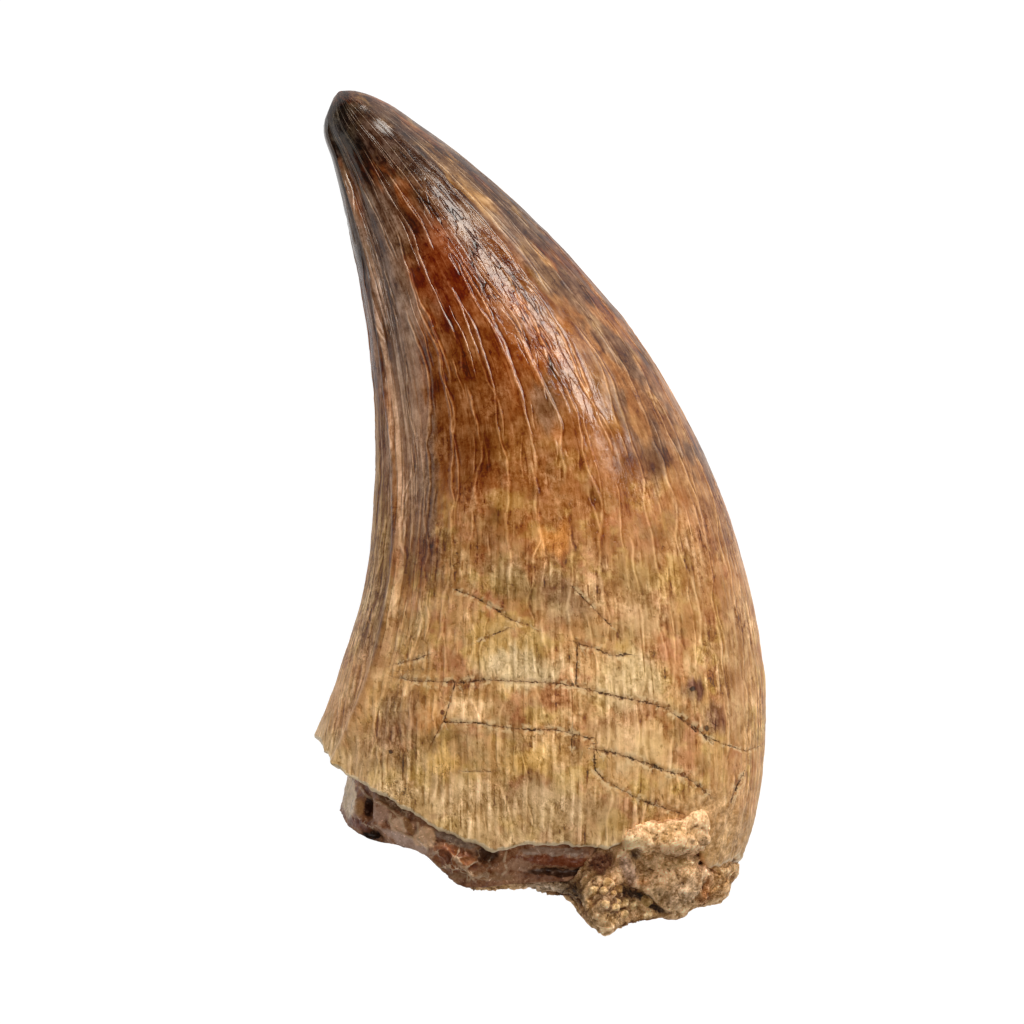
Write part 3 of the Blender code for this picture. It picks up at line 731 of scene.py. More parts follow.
def enamel_material():
    """Fossil enamel: brown to tan, stained in streaks, glossy towards the tip and dull towards the base."""
    made, tree, shader, place = new_material("fossil_enamel")
    strand = attribute(tree, "strand", "Vector")
    fan = attribute(tree, "fan")
    above_rim = attribute(tree, "above_rim")
    lower = grade(tree, fan, -6.0, 9.0)
    moved = drifted(tree, place, stretched(tree, strand, (0.55, 0.55, 0.16)), 1.0, (3.0, 5.0, 3.0))

    # The ground colour darkens towards the tip in ragged streaks
    drift = calc(tree, "SUBTRACT", grain(tree, stretched(tree, strand, (0.5, 0.5, 0.10)), 1.0, 4.0, 0.6), 0.5)
    level = calc(tree, "ADD", fan, calc(tree, "MULTIPLY", drift, 14.0))
    ramp = node(tree, "ShaderNodeValToRGB", {0: grade(tree, level, -26.0, 20.0, kind="LINEAR")})
    stops = ramp.color_ramp.elements
    while len(stops) < len(ENAMEL_COLORS):
        stops.new(1.0)
    for stop, (angle, color) in zip(stops, ENAMEL_COLORS):
        stop.position = (angle + 26) / 46
        stop.color = tint(*color)
    color = ramp.outputs[0]

    # Patches: reddish and dark ones all over, yellow and olive ones in the lower half
    slanted = stretched(tree, strand, (1.0, 1.0, 0.45))
    color = patches(tree, color, slanted, 0.42, 0.45, (172, 92, 36), 0.55)
    color = patches(tree, color, stretched(tree, strand, (-1.0, 1.0, 0.4)), 0.55, 0.40, (106, 68, 32), 0.56)
    color = patches(tree, color, place, 0.34, calc(tree, "MULTIPLY", lower, 0.6), (188, 122, 82), 0.53)
    color = patches(tree, color, stretched(tree, place, (1.0, -1.0, 1.0)), 0.38, calc(tree, "MULTIPLY", lower, 0.6),
                    (212, 172, 96), 0.54)
    color = patches(tree, color, stretched(tree, place, (-1.0, 0.8, 1.0)), 0.5,
                    grade(tree, lower, 0.0, 1.0, 0.1, 0.45), (160, 126, 74), 0.55)
    for spot in ENAMEL_STAINS_AND_SHEEN:
        color = stain_or_painted_light(tree, color, moved, spot)
    outer = calc(tree, "MULTIPLY", grade(tree, attribute(tree, "side"), 112.0, 136.0),
                 grade(tree, fan, -2.0, 6.0, 1.0, 0.0))
    color = patches(tree, color, stretched(tree, strand, (-1.0, 1.0, 0.6)), 0.48,
                    calc(tree, "MULTIPLY", outer, 0.75), (82, 54, 36), 0.47)
    color = patches(tree, color, stretched(tree, strand, (1.0, -1.0, 0.7)), 0.60,
                    calc(tree, "MULTIPLY", outer, 0.35), (172, 130, 74), 0.58)
    bare = calc(tree, "SUBTRACT", 1.0, oval(tree, place, COVERED_RIM, 0.75))
    rim_band = grade(tree, calc(tree, "ADD", above_rim, calc(tree, "MULTIPLY", grain(tree, place, 0.8, 3.0), 3.0)),
                     1.6, 5.0, 0.45, 0.0)
    color = mixed(tree, calc(tree, "MULTIPLY", rim_band, bare), color, tint(218, 184, 134))

    cream = mixed(tree, 0.6, color, tint(236, 200, 144))
    cloud = grain(tree, stretched(tree, place, (1.0, 0.8, 1.0)), 0.62, 6.0, 0.7)
    color = mixed(tree, calc(tree, "MULTIPLY", grade(tree, cloud, 0.48, 0.66), grade(tree, lower, 0.6, 1.0, 0.05, 0.60)),
                  color, cream)

    # Light and dark detail: streaks, clouds, grain, ribs, wrinkles, crests partly lit by painted glints, the gutters
    # beside them partly darkened by painted shade, and a painted highlight over the gleam
    wide = swing(tree, grain(tree, stretched(tree, strand, (1.0, 1.0, 0.12)), 0.9, 4.0, 0.65),
                 grade(tree, lower, 0.0, 1.0, 0.42, 0.26))
    clouds = swing(tree, grain(tree, place, 0.5, 2.0), 0.40)
    mottle = grain(tree, stretched(tree, strand, (1.0, 1.0, 0.9)), 2.6, 5.0, 0.86)
    mottle = swing(tree, mottle, grade(tree, lower, 0.0, 0.45, 0.38, 0.66))
    blotches = grain(tree, stretched(tree, strand, (1.0, 1.0, 0.55)), 2.1, 4.0, 0.62)
    blotches = calc(tree, "MULTIPLY", grade(tree, blotches, 0.43, 0.57, -1.0, 1.0), grade(tree, lower, 0.0, 1.0, 0.03, 0.045))
    striae = fine_striae(tree, strand)
    rib_light = swing(tree, striae, grade(tree, fan, -4.0, 14.0, 0.10, 0.14))
    gleaming = oval(tree, place, GLEAMING)
    furrows = grain(tree, stretched(tree, strand, (1.0, 1.0, 0.14)), 1.7, 1.0)
    furrows = grade(tree, calc(tree, "ABSOLUTE", calc(tree, "SUBTRACT", furrows, 0.5)), 0.0, 0.045, 1.0, 0.0)
    # Painted highlight: the colour is lighter over the long gleam, crossed by darker furrow lines
    painted_gleam = calc(tree, "MULTIPLY", gleaming, calc(tree, "SUBTRACT", 0.05, calc(tree, "MULTIPLY", furrows, 0.24)))
    crests, gutters = bold_ridges(tree, strand)
    # Crests are paler, partly as a painted glint that is strongest towards the glossy tip; the gutters beside them are
    # darker, partly as painted shade
    crest_glint_and_pale = calc(tree, "MULTIPLY", crests, grade(tree, fan, -20.0, 11.0, 0.25, 0.10, "LINEAR"))
    gutter_dark_and_shade = calc(tree, "MULTIPLY", gutters, grade(tree, fan, -1.0, 9.0, -0.10, -0.07))
    reeds = edge_reeds(tree, attribute(tree, "side"), fan)
    slots = threads(tree, strand, 150, 41.0, 0.56, 0.15)
    pale = threads(tree, strand, 170, 57.0, 0.56, 0.16)
    slot_dark = calc(tree, "MULTIPLY", slots, grade(tree, lower, 0.0, 1.0, -0.08, -0.18))
    pale_light = calc(tree, "MULTIPLY", pale, grade(tree, lower, 0.0, 1.0, 0.07, 0.09))
    curls = squiggles(tree, stretched(tree, place, (1.0, 0.8, 1.0)), 0.5)
    curly = grade(tree, grain(tree, stretched(tree, place, (1.0, -1.0, 1.0)), 0.7, 3.0, 0.6), 0.46, 0.58, 0.15, 1.0)
    curl_dark = calc(tree, "MULTIPLY", calc(tree, "MULTIPLY", curls, curly), grade(tree, lower, 0.0, 1.0, -0.07, -0.13))

    # Dark specks, and dashes in the grooves
    specks = pits(tree, stretched(tree, moved, (1.0, 0.62, 1.0)), 0.75, 0.34)
    specks = calc(tree, "MULTIPLY", specks, grade(tree, grain(tree, place, 0.5, 2.0), 0.4, 0.6))
    dashes = grade(tree, grain(tree, stretched(tree, strand, (1.0, 1.0, 0.45)), 3.4, 3.0, 0.65), 0.60, 0.70)
    dashes = calc(tree, "MULTIPLY", dashes, grade(tree, lower, 0.0, 1.0, 0.5, 0.9))
    groove = calc(tree, "MULTIPLY", grade(tree, striae, 0.0, 0.40, 1.0, 0.0),
                  grade(tree, grain(tree, stretched(tree, strand, (1.0, 1.0, 0.6)), 1.6, 3.0, 0.6), 0.52, 0.62))
    dark = calc(tree, "MAXIMUM", calc(tree, "MAXIMUM", specks, dashes), calc(tree, "MULTIPLY", groove, 0.7))
    dark_step = calc(tree, "MULTIPLY", dark, grade(tree, lower, 0.0, 1.0, -0.05, -0.14))
    lift = grade(tree, lower, 0.0, 1.0, 0.01, 0.03)
    lively = grade(tree, grain(tree, stretched(tree, place, (-1.0, -0.8, 1.0)), 0.26, 3.0, 0.6), 0.40, 0.60, 0.35, 1.25)
    lively = calc(tree, "MAXIMUM", lively, calc(tree, "SUBTRACT", 1.0, lower))
    detail = total(tree, mottle, blotches, rib_light, slot_dark, pale_light, curl_dark)
    detail = total(tree, calc(tree, "MULTIPLY", detail, lively), wide, clouds, painted_gleam, gutter_dark_and_shade, dark_step, lift)
    detail = calc(tree, "ADD", detail, calc(tree, "MULTIPLY", reeds, 0.11))
    crumbly = grade(tree, attribute(tree, "crumbly"), 0.35, 0.55)
    lace = calc(tree, "MULTIPLY", squiggles(tree, place, 0.26), crumbly)
    knots = grade(tree, attribute(tree, "knotted"), 0.45, 0.70)
    detail = total(tree, detail, calc(tree, "MULTIPLY", lace, -0.30), calc(tree, "MULTIPLY", crumbly, 0.06),
                   calc(tree, "MULTIPLY", knots, -0.40))
    crusted = attribute(tree, "crusted")
    color = mixed(tree, calc(tree, "MULTIPLY", crusted, 0.8), color, tint(208, 162, 110))
    sandy = swing(tree, grain(tree, place, 1.5, 6.0, 0.86), 1.5)
    detail = calc(tree, "MULTIPLY", detail, calc(tree, "SUBTRACT", 1.0, crusted))
    detail = calc(tree, "ADD", detail, calc(tree, "MULTIPLY", sandy, crusted))
    color = shaded(tree, shaded(tree, color, detail), stretched(tree, crest_glint_and_pale, (0.98, 0.95, 0.88)))
    # A thin pale lip along the broken rim, partly a painted highlight of its edge
    lip = grade(tree, calc(tree, "ADD", above_rim, calc(tree, "MULTIPLY", grain(tree, place, 1.3, 4.0, 0.7), 0.9)),
                0.46, 0.66, 0.85, 0.0)
    color = mixed(tree, calc(tree, "MULTIPLY", lip, bare), color, tint(240, 216, 178))

    # Cracks, thin and uneven, beaded with small holes, with pale chipped lips
    near = attribute(tree, "crack_near")
    ragged = calc(tree, "MULTIPLY", calc(tree, "SUBTRACT", grain(tree, place, 3.6, 4.0, 0.7), 0.5), 4.2)
    signed = calc(tree, "ADD", attribute(tree, "crack"), ragged)
    offset = calc(tree, "ABSOLUTE", signed)
    opening = grade(tree, grain(tree, place, 1.4, 5.0, 0.8), 0.44, 0.64, 0.14, 1.15)
    crack = grade(tree, calc(tree, "DIVIDE", offset, opening), 0.30, 0.95, 1.0, 0.0)
    holes = calc(tree, "MULTIPLY", grade(tree, offset, 0.6, 1.6, 1.0, 0.0),
                 grade(tree, grain(tree, place, 2.6, 3.0, 0.6), 0.61, 0.65))
    crack = calc(tree, "MULTIPLY", calc(tree, "MAXIMUM", crack, holes), near)
    lip = calc(tree, "MULTIPLY", grade(tree, offset, 1.0, 4.5, 1.0, 0.0),
               grade(tree, grain(tree, place, 1.5, 4.0, 0.65), 0.50, 0.56, 0.0, 0.75))
    color = mixed(tree, calc(tree, "MULTIPLY", lip, near), color, tint(242, 212, 162))
    rust = calc(tree, "MULTIPLY", grade(tree, offset, 0.4, 3.0, 0.35, 0.0), near)
    color = mixed(tree, rust, color, tint(150, 98, 52))
    depth_color = mixed(tree, grade(tree, opening, 0.3, 0.9), tint(128, 78, 40), tint(54, 26, 8))
    color = mixed(tree, calc(tree, "MULTIPLY", crack, 0.92), color, depth_color)
    tree.links.new(color, shader.inputs["Base Color"])

    # Gloss: smooth and bright near the tip, dull near the base, uneven everywhere
    dull = grade(tree, calc(tree, "ADD", fan, calc(tree, "MULTIPLY", grain(tree, moved, 0.35, 3.0), 10.0)), 0.0, 16.0)
    margin = calc(tree, "MULTIPLY", grade(tree, attribute(tree, "side"), 24.0, 30.0, 1.0, 0.0),
                  grade(tree, fan, -12.0, -2.0))
    outer = calc(tree, "ADD", attribute(tree, "side"), calc(tree, "MULTIPLY", grain(tree, strand, 0.6, 3.0), 24.0))
    dull = calc(tree, "MAXIMUM", calc(tree, "MAXIMUM", dull, margin), grade(tree, outer, 128.0, 142.0, 0.0, 0.6))
    dull = calc(tree, "MAXIMUM", dull, grade(tree, fan, -25.0, -19.0, 0.22, 0.0))
    dull = calc(tree, "MAXIMUM", dull, crusted)
    gloss = calc(tree, "ADD", grade(tree, dull, 0.0, 1.0, 0.06, 0.48),
                 calc(tree, "MULTIPLY", grain(tree, strand, 1.3, 3.0), 0.09))
    gloss = calc(tree, "ADD", gloss, calc(tree, "MULTIPLY", gleaming, -0.03))
    tree.links.new(calc(tree, "ADD", gloss, calc(tree, "MULTIPLY", crack, 0.3)), shader.inputs["Roughness"])
    shader.inputs["IOR"].default_value = 1.38

    # Fine relief on top of the modelled relief, lower towards the tip where everything is finer
    fine = grain(tree, stretched(tree, strand, (1.0, 1.0, 0.2)), 3.6, 3.0, 0.6)
    height = total(
        tree,
        calc(tree, "MULTIPLY", crests, grade(tree, fan, -2.0, 11.0, 0.010, 0.01)),
        calc(tree, "MULTIPLY", striae, grade(tree, lower, 0.0, 1.0, 0.004, 0.02)),
        calc(tree, "MULTIPLY", fine, grade(tree, lower, 0.0, 1.0, 0.004, 0.035)),
        calc(tree, "MULTIPLY", mottle, grade(tree, lower, 0.0, 1.0, 0.0, 0.06)),
        calc(tree, "MULTIPLY", curls, calc(tree, "MULTIPLY", gleaming, -0.008)),
        calc(tree, "MULTIPLY", furrows, calc(tree, "MULTIPLY", gleaming, -0.02)),
        calc(tree, "MULTIPLY", gutters, grade(tree, lower, 0.0, 1.0, -0.008, -0.01)),
        calc(tree, "MULTIPLY", reeds, 0.03),
        calc(tree, "MULTIPLY", dark, grade(tree, lower, 0.0, 1.0, -0.005, -0.03)),
        calc(tree, "MULTIPLY", crack, -0.05),
    )
    height = calc(tree, "MULTIPLY", height, grade(tree, fan, -26.0, -10.0, 0.2, 1.0))
    inputs = {"Height": height, "Distance": 0.001, "Strength": 1.0}
    tree.links.new(node(tree, "ShaderNodeBump", inputs).outputs[0], shader.inputs["Normal"])
    return made


crown = apply_nodes(crown, enamel_relief_tree(), {**ENAMEL_RELIEF, "Finish": enamel_material()})
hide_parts("tooth")
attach(crown, "root")

# Dentine core
# Below the enamel's broken edge the dentine of the root shows. It is harder, glassier and redder than the
# enamel, with thin pale walls between small cells at its left, and it carries the enamel.
CORE_INSET = [
    (0, 0.0034), (16, 0.0031), (32, 0.0025), (46, 0.0016), (62, 0.0014), (72, 0.0010), (84, 0.0011),
    (93, 0.0023), (108, 0.0026), (120, 0.0021), (132, 0.0020), (150, 0.0017), (180, 0.0014),
    (215, 0.0013), (250, 0.0012), (280, 0.0018), (305, 0.0012), (330, 0.0024), (350, 0.0032), (360, 0.0034),
]
CORE_END = [
    (0.09, 22.7), (0.13, 23.5), (0.18, 23.8), (0.27, 23.4), (0.33, 23.3), (0.38, 23.7), (0.43, 24.1),
    (0.48, 23.7), (0.54, 22.9), (0.62, 22.0), (0.75, 20.9), (0.90, 19.9), (1.0, 19.6),
]
CORE_LEAST = 0.9
CORE_ROUNDING = 0.0004
CORE_ROWS = 44
CORE_FORMS_FROM = 0.007
CORE_FRONT_COLUMNS = 420
CORE_BACK_COLUMNS = 160
BASE_ROWS = 26
BASE_MIDDLE = 21.5
BASE_HOLLOW = 2.2
HOLLOW_STEEPNESS = 1.3
# Lumps and hollows: place, half length and half width, turn, height, in millimetres
CORE_LUMPS = [
    ((-14.6, -21.5), (0.6, 1.6), 0, -0.25),
    ((-11.4, -24.7), (1.8, 0.4), 0, -0.40),
    ((-13.4, -21.9), (0.42, 0.70), 6, 0.40),
    ((-12.7, -21.9), (0.34, 0.85), 6, -1.30),
    ((-11.8, -22.3), (0.72, 0.75), 10, 0.50),
    ((-10.7, -22.9), (0.70, 0.85), -30, 0.25),
    ((-12.3, -23.9), (0.75, 0.38), -20, -1.00),
    ((-11.2, -23.5), (2.6, 0.25), -22, 0.35),
    ((-8.2, -23.9), (0.70, 1.10), 10, 0.35),
    ((-6.4, -25.3), (1.50, 1.25), -20, 0.75),
    ((-5.5, -25.8), (0.55, 0.50), 0, 0.25),
    ((-7.2, -25.0), (0.45, 0.45), 0, 0.30),
    ((-3.9, -25.4), (0.60, 0.55), 0, -0.65),
    ((-2.6, -25.9), (0.40, 0.80), 0, 0.40),
    ((1.6, -25.4), (3.4, 0.50), -2, 0.20),
    ((1.9, -26.6), (3.2, 0.35), -3, -0.45),
    ((5.9, -26.4), (0.75, 1.5), 20, 0.45),
]
# Thin pale walls between the cells, in millimetres
CORE_WALLS = [
    [(-13.3, -20.4), (-12.8, -21.1), (-12.0, -21.5), (-11.2, -21.9), (-10.8, -22.2), (-10.2, -22.8), (-10.0, -23.6)],
    [(-11.0, -22.4), (-11.1, -22.9), (-10.5, -23.6), (-9.3, -24.2)],
    [(-9.0, -23.0), (-9.0, -24.2), (-8.3, -24.9)],
    [(-6.3, -25.6), (-5.7, -26.2), (-5.3, -26.2), (-4.8, -25.9)],
    [(-5.5, -26.3), (-5.3, -26.7), (-4.6, -27.0), (-3.8, -26.7)],
    [(-2.6, -26.1), (-2.4, -26.5), (-2.8, -26.8)],
    [(-2.5, -25.1), (-2.7, -25.8)],
]
WALL_HEIGHT = 0.00012
WALL_HALF_WIDTH = 0.10
# Where the dentine is broken into small cells: place, half length and half width, turn, strength
CORE_CELLS = [
    ((-5.8, -25.8), (2.4, 1.4), -20, 1.0),
    ((-12.4, -23.3), (1.4, 0.4), -20, 0.6),
    ((-10.6, -21.7), (2.2, 0.35), -40, 0.6),
]


def across(side, inset):
    """How far across the crown's width a point under its surface lies, from 0 to 1."""
    reach, _ = section(side, np.full(len(side), RIM_ANGLE), -inset)
    return (reach - smooth(INNER_EDGE, RIM_ANGLE)) / width(RIM_ANGLE)


def line_distance(lines, points):
    """Distance in millimetres from points to the nearest of some lines in the plan."""
    place = points[:, :2] / MM
    nearest = np.full(len(points), 1e3)
    for line in lines:
        for start, end in zip(np.array(line[:-1]), np.array(line[1:])):
            span = end - start
            t = np.clip((place - start) @ span / (span @ span), 0, 1)
            nearest = np.minimum(nearest, np.hypot(*(place - start - t[:, None] * span).T))
    return np.where(points[:, 2] > FRONT_STARTS, nearest, 1e3)


def build_core():
    """The dentine from just inside the enamel down to its hollow underside."""
    side = np.concatenate([
        np.linspace(0, 180, CORE_FRONT_COLUMNS, endpoint=False),
        np.linspace(180, 360, CORE_BACK_COLUMNS, endpoint=False),
    ])
    rim = straight(RIM, side)
    inset = straight(CORE_INSET, side)
    end = np.maximum(smooth(CORE_END, across(side, inset)), rim + CORE_LEAST)
    rings = []
    for drop, share in [(-1.0, 0.0), (-0.3, 0.0), (-0.02, 0.15), (-0.05, 0.55), (0.02, 0.9)]:
        depth = ENAMEL_THICKNESS * 0.9 + (inset - ENAMEL_THICKNESS * 0.9) * share
        rings.append(surface(side, rim + drop, -depth))
    for step in np.linspace(0, 1, CORE_ROWS):
        fan = rim + 0.1 + (end - rim - 0.1) * step
        depth = inset + CORE_ROUNDING * step**3
        plain = surface(side, fan, -depth)
        lift = oval_lumps(CORE_LUMPS, plain, CORE_FORMS_FROM) + 0.00010 * rough(plain, 0.0016) + 0.00005 * rough(plain, 0.0005)
        walls = np.exp(-((line_distance(CORE_WALLS, plain) / WALL_HALF_WIDTH) ** 2))
        rings.append(surface(side, fan, -depth + lift + WALL_HEIGHT * walls))
    middle = section_middle(BASE_MIDDLE)
    hollow = np.radians(BASE_HOLLOW) * np.hypot(*(middle[:2] - BEND_AXIS))
    edge = rings[-1]
    for step in np.linspace(0, 1, BASE_ROWS + 1)[1:-1]:
        ring = edge + (middle - edge) * step
        ring[:, 1] += hollow * np.sin(np.pi / 2 * min(1, HOLLOW_STEEPNESS * step)) + 0.0003 * rough(ring, 0.0014)
        rings.append(ring)
    middle[1] += hollow
    core = ring_mesh("dentine_core", section_middle(RIM_ANGLE - 1), rings, middle)
    points = np.array([vert.co for vert in core.data.vertices])
    write_attribute(core, "wall_away", "FLOAT", np.minimum(line_distance(CORE_WALLS, points), 1.0))
    write_attribute(core, "hollow", "FLOAT", np.clip(-oval_lumps(CORE_LUMPS, points, CORE_FORMS_FROM) / MM, 0, 1))
    write_attribute(core, "cellular", "FLOAT", np.clip(oval_lumps(CORE_CELLS, points) / MM, 0, 1))
    return core


CORE_RELIEF = {"Cell size": 0.95, "Cell depth": 0.00030, "Grain height": 0.00006}


def cell_walls(tree, place, size):
    """Distance from the walls between cells, and each cell's own shade, both from 0 to 1."""
    shift = node(tree, "ShaderNodeTexNoise", {"Vector": place, "Scale": 1.3, "Detail": 2.0}).outputs[1]
    moved = node(tree, "ShaderNodeVectorMath", {0: place, 1: stretched(tree, shift, (0.9, 0.9, 0.9))}).outputs[0]
    inputs = {"Vector": moved, "Scale": calc(tree, "DIVIDE", 1.0, size)}
    away = node(tree, "ShaderNodeTexVoronoi", inputs, feature="DISTANCE_TO_EDGE").outputs["Distance"]
    shade = node(tree, "ShaderNodeTexVoronoi", inputs, feature="F1").outputs["Color"]
    return away, node(tree, "ShaderNodeSeparateXYZ", {0: shade}).outputs[0]


def core_relief_tree():
    """Hollow cells with raised walls where the dentine is broken, and fine grain all over."""
    tree, given = new_nodes("core_relief", CORE_RELIEF)
    place = stretched(tree, node(tree, "GeometryNodeInputPosition").outputs[0], (1000.0, 1000.0, 1000.0))
    away, shade = cell_walls(tree, place, given["Cell size"])
    cells = calc(tree, "MULTIPLY", grade(tree, away, 0.0, 0.28, 0.5, -0.5), given["Cell depth"])
    cells = calc(tree, "MULTIPLY", cells, read_number(tree, "cellular"))
    grit = calc(tree, "MULTIPLY", swing(tree, grain(tree, place, 1.6, 4.0, 0.65), 4.0), given["Grain height"])
    end_nodes(tree, raised(tree, given["Geometry"], calc(tree, "ADD", cells, grit)), given["Finish"])
    return tree


# Where the dentine is glassiest: place, half length and half width, turn, how much less rough
GLASSY_BAND = ((1.6, -25.6), (6.0, 1.4), -3, 0.26)
# Stains of the dentine, and ovals of painted shade in its hollows and under the rim: place, half length and half width,
# turn, colour, strength
CORE_STAINS_AND_SHADE = [
    ((-14.2, -21.0), (0.75, 1.9), 5, (238, 212, 178), 0.95),
    ((-13.4, -21.9), (0.42, 0.72), 5, (184, 138, 92), 0.9),
    # Painted shade: a dark hollow
    ((-12.7, -21.9), (0.36, 0.9), 6, (58, 26, 14), 0.95),
    ((-11.7, -22.4), (0.80, 0.80), 10, (192, 150, 126), 0.9),
    ((-10.4, -23.2), (0.85, 0.75), -30, (228, 188, 156), 0.9),
    ((-11.2, -21.4), (2.2, 0.38), -40, (118, 88, 58), 0.9),
    ((-9.7, -23.2), (0.35, 0.8), 30, (160, 112, 66), 0.8),
    # Painted shade: a near-black pit
    ((-12.4, -23.9), (0.75, 0.34), -10, (20, 10, 6), 0.95),
    ((-13.2, -23.2), (1.0, 0.4), -20, (116, 56, 34), 0.9),
    ((-9.9, -24.4), (2.2, 0.50), -27, (202, 166, 146), 0.9),
    ((-8.5, -24.1), (1.0, 0.90), 10, (238, 192, 150), 0.95),
    # Painted shade: grey where the rim shades the dentine below it
    ((-6.2, -24.2), (1.9, 0.45), -18, (156, 134, 118), 0.9),
    ((-6.2, -25.7), (2.0, 1.1), -20, (136, 72, 32), 0.9),
    # Painted shade: a dark hollow
    ((-3.9, -25.2), (1.0, 0.7), 0, (66, 40, 24), 0.85),
    ((-4.4, -26.9), (2.8, 0.4), -4, (166, 126, 90), 0.85),
    ((0.9, -25.1), (2.8, 0.40), -2, (172, 142, 122), 0.85),
    ((5.2, -25.3), (1.2, 0.8), 0, (160, 122, 100), 0.8),
    ((1.6, -25.9), (4.6, 0.40), -3, (128, 62, 32), 0.85),
    # Painted shadow: the dark line under the glassy band
    ((2.0, -26.7), (3.6, 0.35), -3, (52, 28, 16), 0.85),
    ((-1.6, -26.1), (1.0, 0.55), 0, (180, 138, 110), 0.85),
    ((6.0, -26.6), (0.6, 1.5), 20, (186, 164, 148), 0.9),
    ((-7.0, -26.6), (1.6, 0.35), -40, (166, 122, 86), 0.7),
]


def dentine_material():
    """Glassy dentine: red-brown, with pale grey and pinkish patches and pale walls, and painted shade in its hollows,
    its cells and under the rim.
    """
    made, tree, shader, place = new_material("glassy_dentine")
    moved = drifted(tree, place, place, 1.1, (0.9, 0.9, 0.9))
    cloud = grain(tree, place, 0.9, 5.0, 0.65)
    color = mixed(tree, grade(tree, cloud, 0.35, 0.65), tint(118, 70, 42), tint(178, 128, 92))
    shown = upper_side(tree, place)
    for spot in CORE_STAINS_AND_SHADE:
        color = stain_or_painted_light(tree, color, moved, spot, 0.72, shown)
    away, shade = cell_walls(tree, place, CORE_RELIEF["Cell size"])
    cellular = attribute(tree, "cellular")
    inner = mixed(tree, grade(tree, shade, 0.2, 0.8), tint(84, 44, 24), tint(170, 110, 62))
    color = mixed(tree, calc(tree, "MULTIPLY", cellular, 0.5), color, inner)
    edge = calc(tree, "MULTIPLY", grade(tree, away, 0.02, 0.09, 1.0, 0.0), grade(tree, cellular, 0.2, 0.6))
    edge = calc(tree, "MULTIPLY", edge, grade(tree, grain(tree, place, 1.2, 2.0), 0.40, 0.60))
    line = grade(tree, attribute(tree, "wall_away"), 0.05, 0.13, 1.0, 0.0)
    line = calc(tree, "MULTIPLY", line, grade(tree, grain(tree, place, 1.7, 3.0), 0.32, 0.58, 0.25, 1.0))
    color = mixed(tree, calc(tree, "MULTIPLY", calc(tree, "MAXIMUM", edge, line), 0.8), color, tint(214, 182, 150))
    # Painted shade: darker in the hollows of the dentine
    color = mixed(tree, calc(tree, "MULTIPLY", attribute(tree, "hollow"), 0.5), color, tint(30, 14, 8))
    mottle = swing(tree, grain(tree, place, 2.4, 5.0, 0.8), 0.60)
    flecks = calc(tree, "MULTIPLY", grade(tree, grain(tree, place, 3.4, 2.0, 0.6), 0.64, 0.70), 0.22)
    # Painted shade: darker towards the middle of each cell, away from its raised walls
    painted_cell_shade = grade(tree, away, 0.10, 0.40, 0.0, -0.10)
    color = shaded(tree, color, total(tree, mottle, flecks, calc(tree, "MULTIPLY", painted_cell_shade, cellular)))
    tree.links.new(color, shader.inputs["Base Color"])
    dull = calc(tree, "SUBTRACT", grade(tree, cloud, 0.3, 0.7, 0.38, 0.58), oval(tree, place, GLASSY_BAND))
    tree.links.new(dull, shader.inputs["Roughness"])
    shader.inputs["IOR"].default_value = 1.4
    height = total(
        tree,
        calc(tree, "MULTIPLY", cloud, 0.10),
        calc(tree, "MULTIPLY", grain(tree, place, 5.0, 4.0, 0.6), 0.04),
        calc(tree, "MULTIPLY", edge, 0.04),
    )
    inputs = {"Height": height, "Distance": 0.001, "Strength": 1.0}
    tree.links.new(node(tree, "ShaderNodeBump", inputs).outputs[0], shader.inputs["Normal"])
    return made


core = build_core()
core = apply_nodes(core, core_relief_tree(), {**CORE_RELIEF, "Finish": dentine_material()})
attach(core, "root")

# Sandy matrix
# The sediment that the tooth was buried in is still cemented in its broken base. It is a rough, tan crust
# with lumps and creases, and it also stands where a piece of the enamel is missing.
MATRIX_VOXEL = 0.00017
MATRIX_RELIEF = {
    "Lump size": 1.9,
    "Lump height": 0.00026,
    "Crease size": 1.3,
    "Crease depth": 0.00022,
    "Grain size": 0.55,
    "Grain height": 0.00016,
    "Fibre height": 0.00022,
}
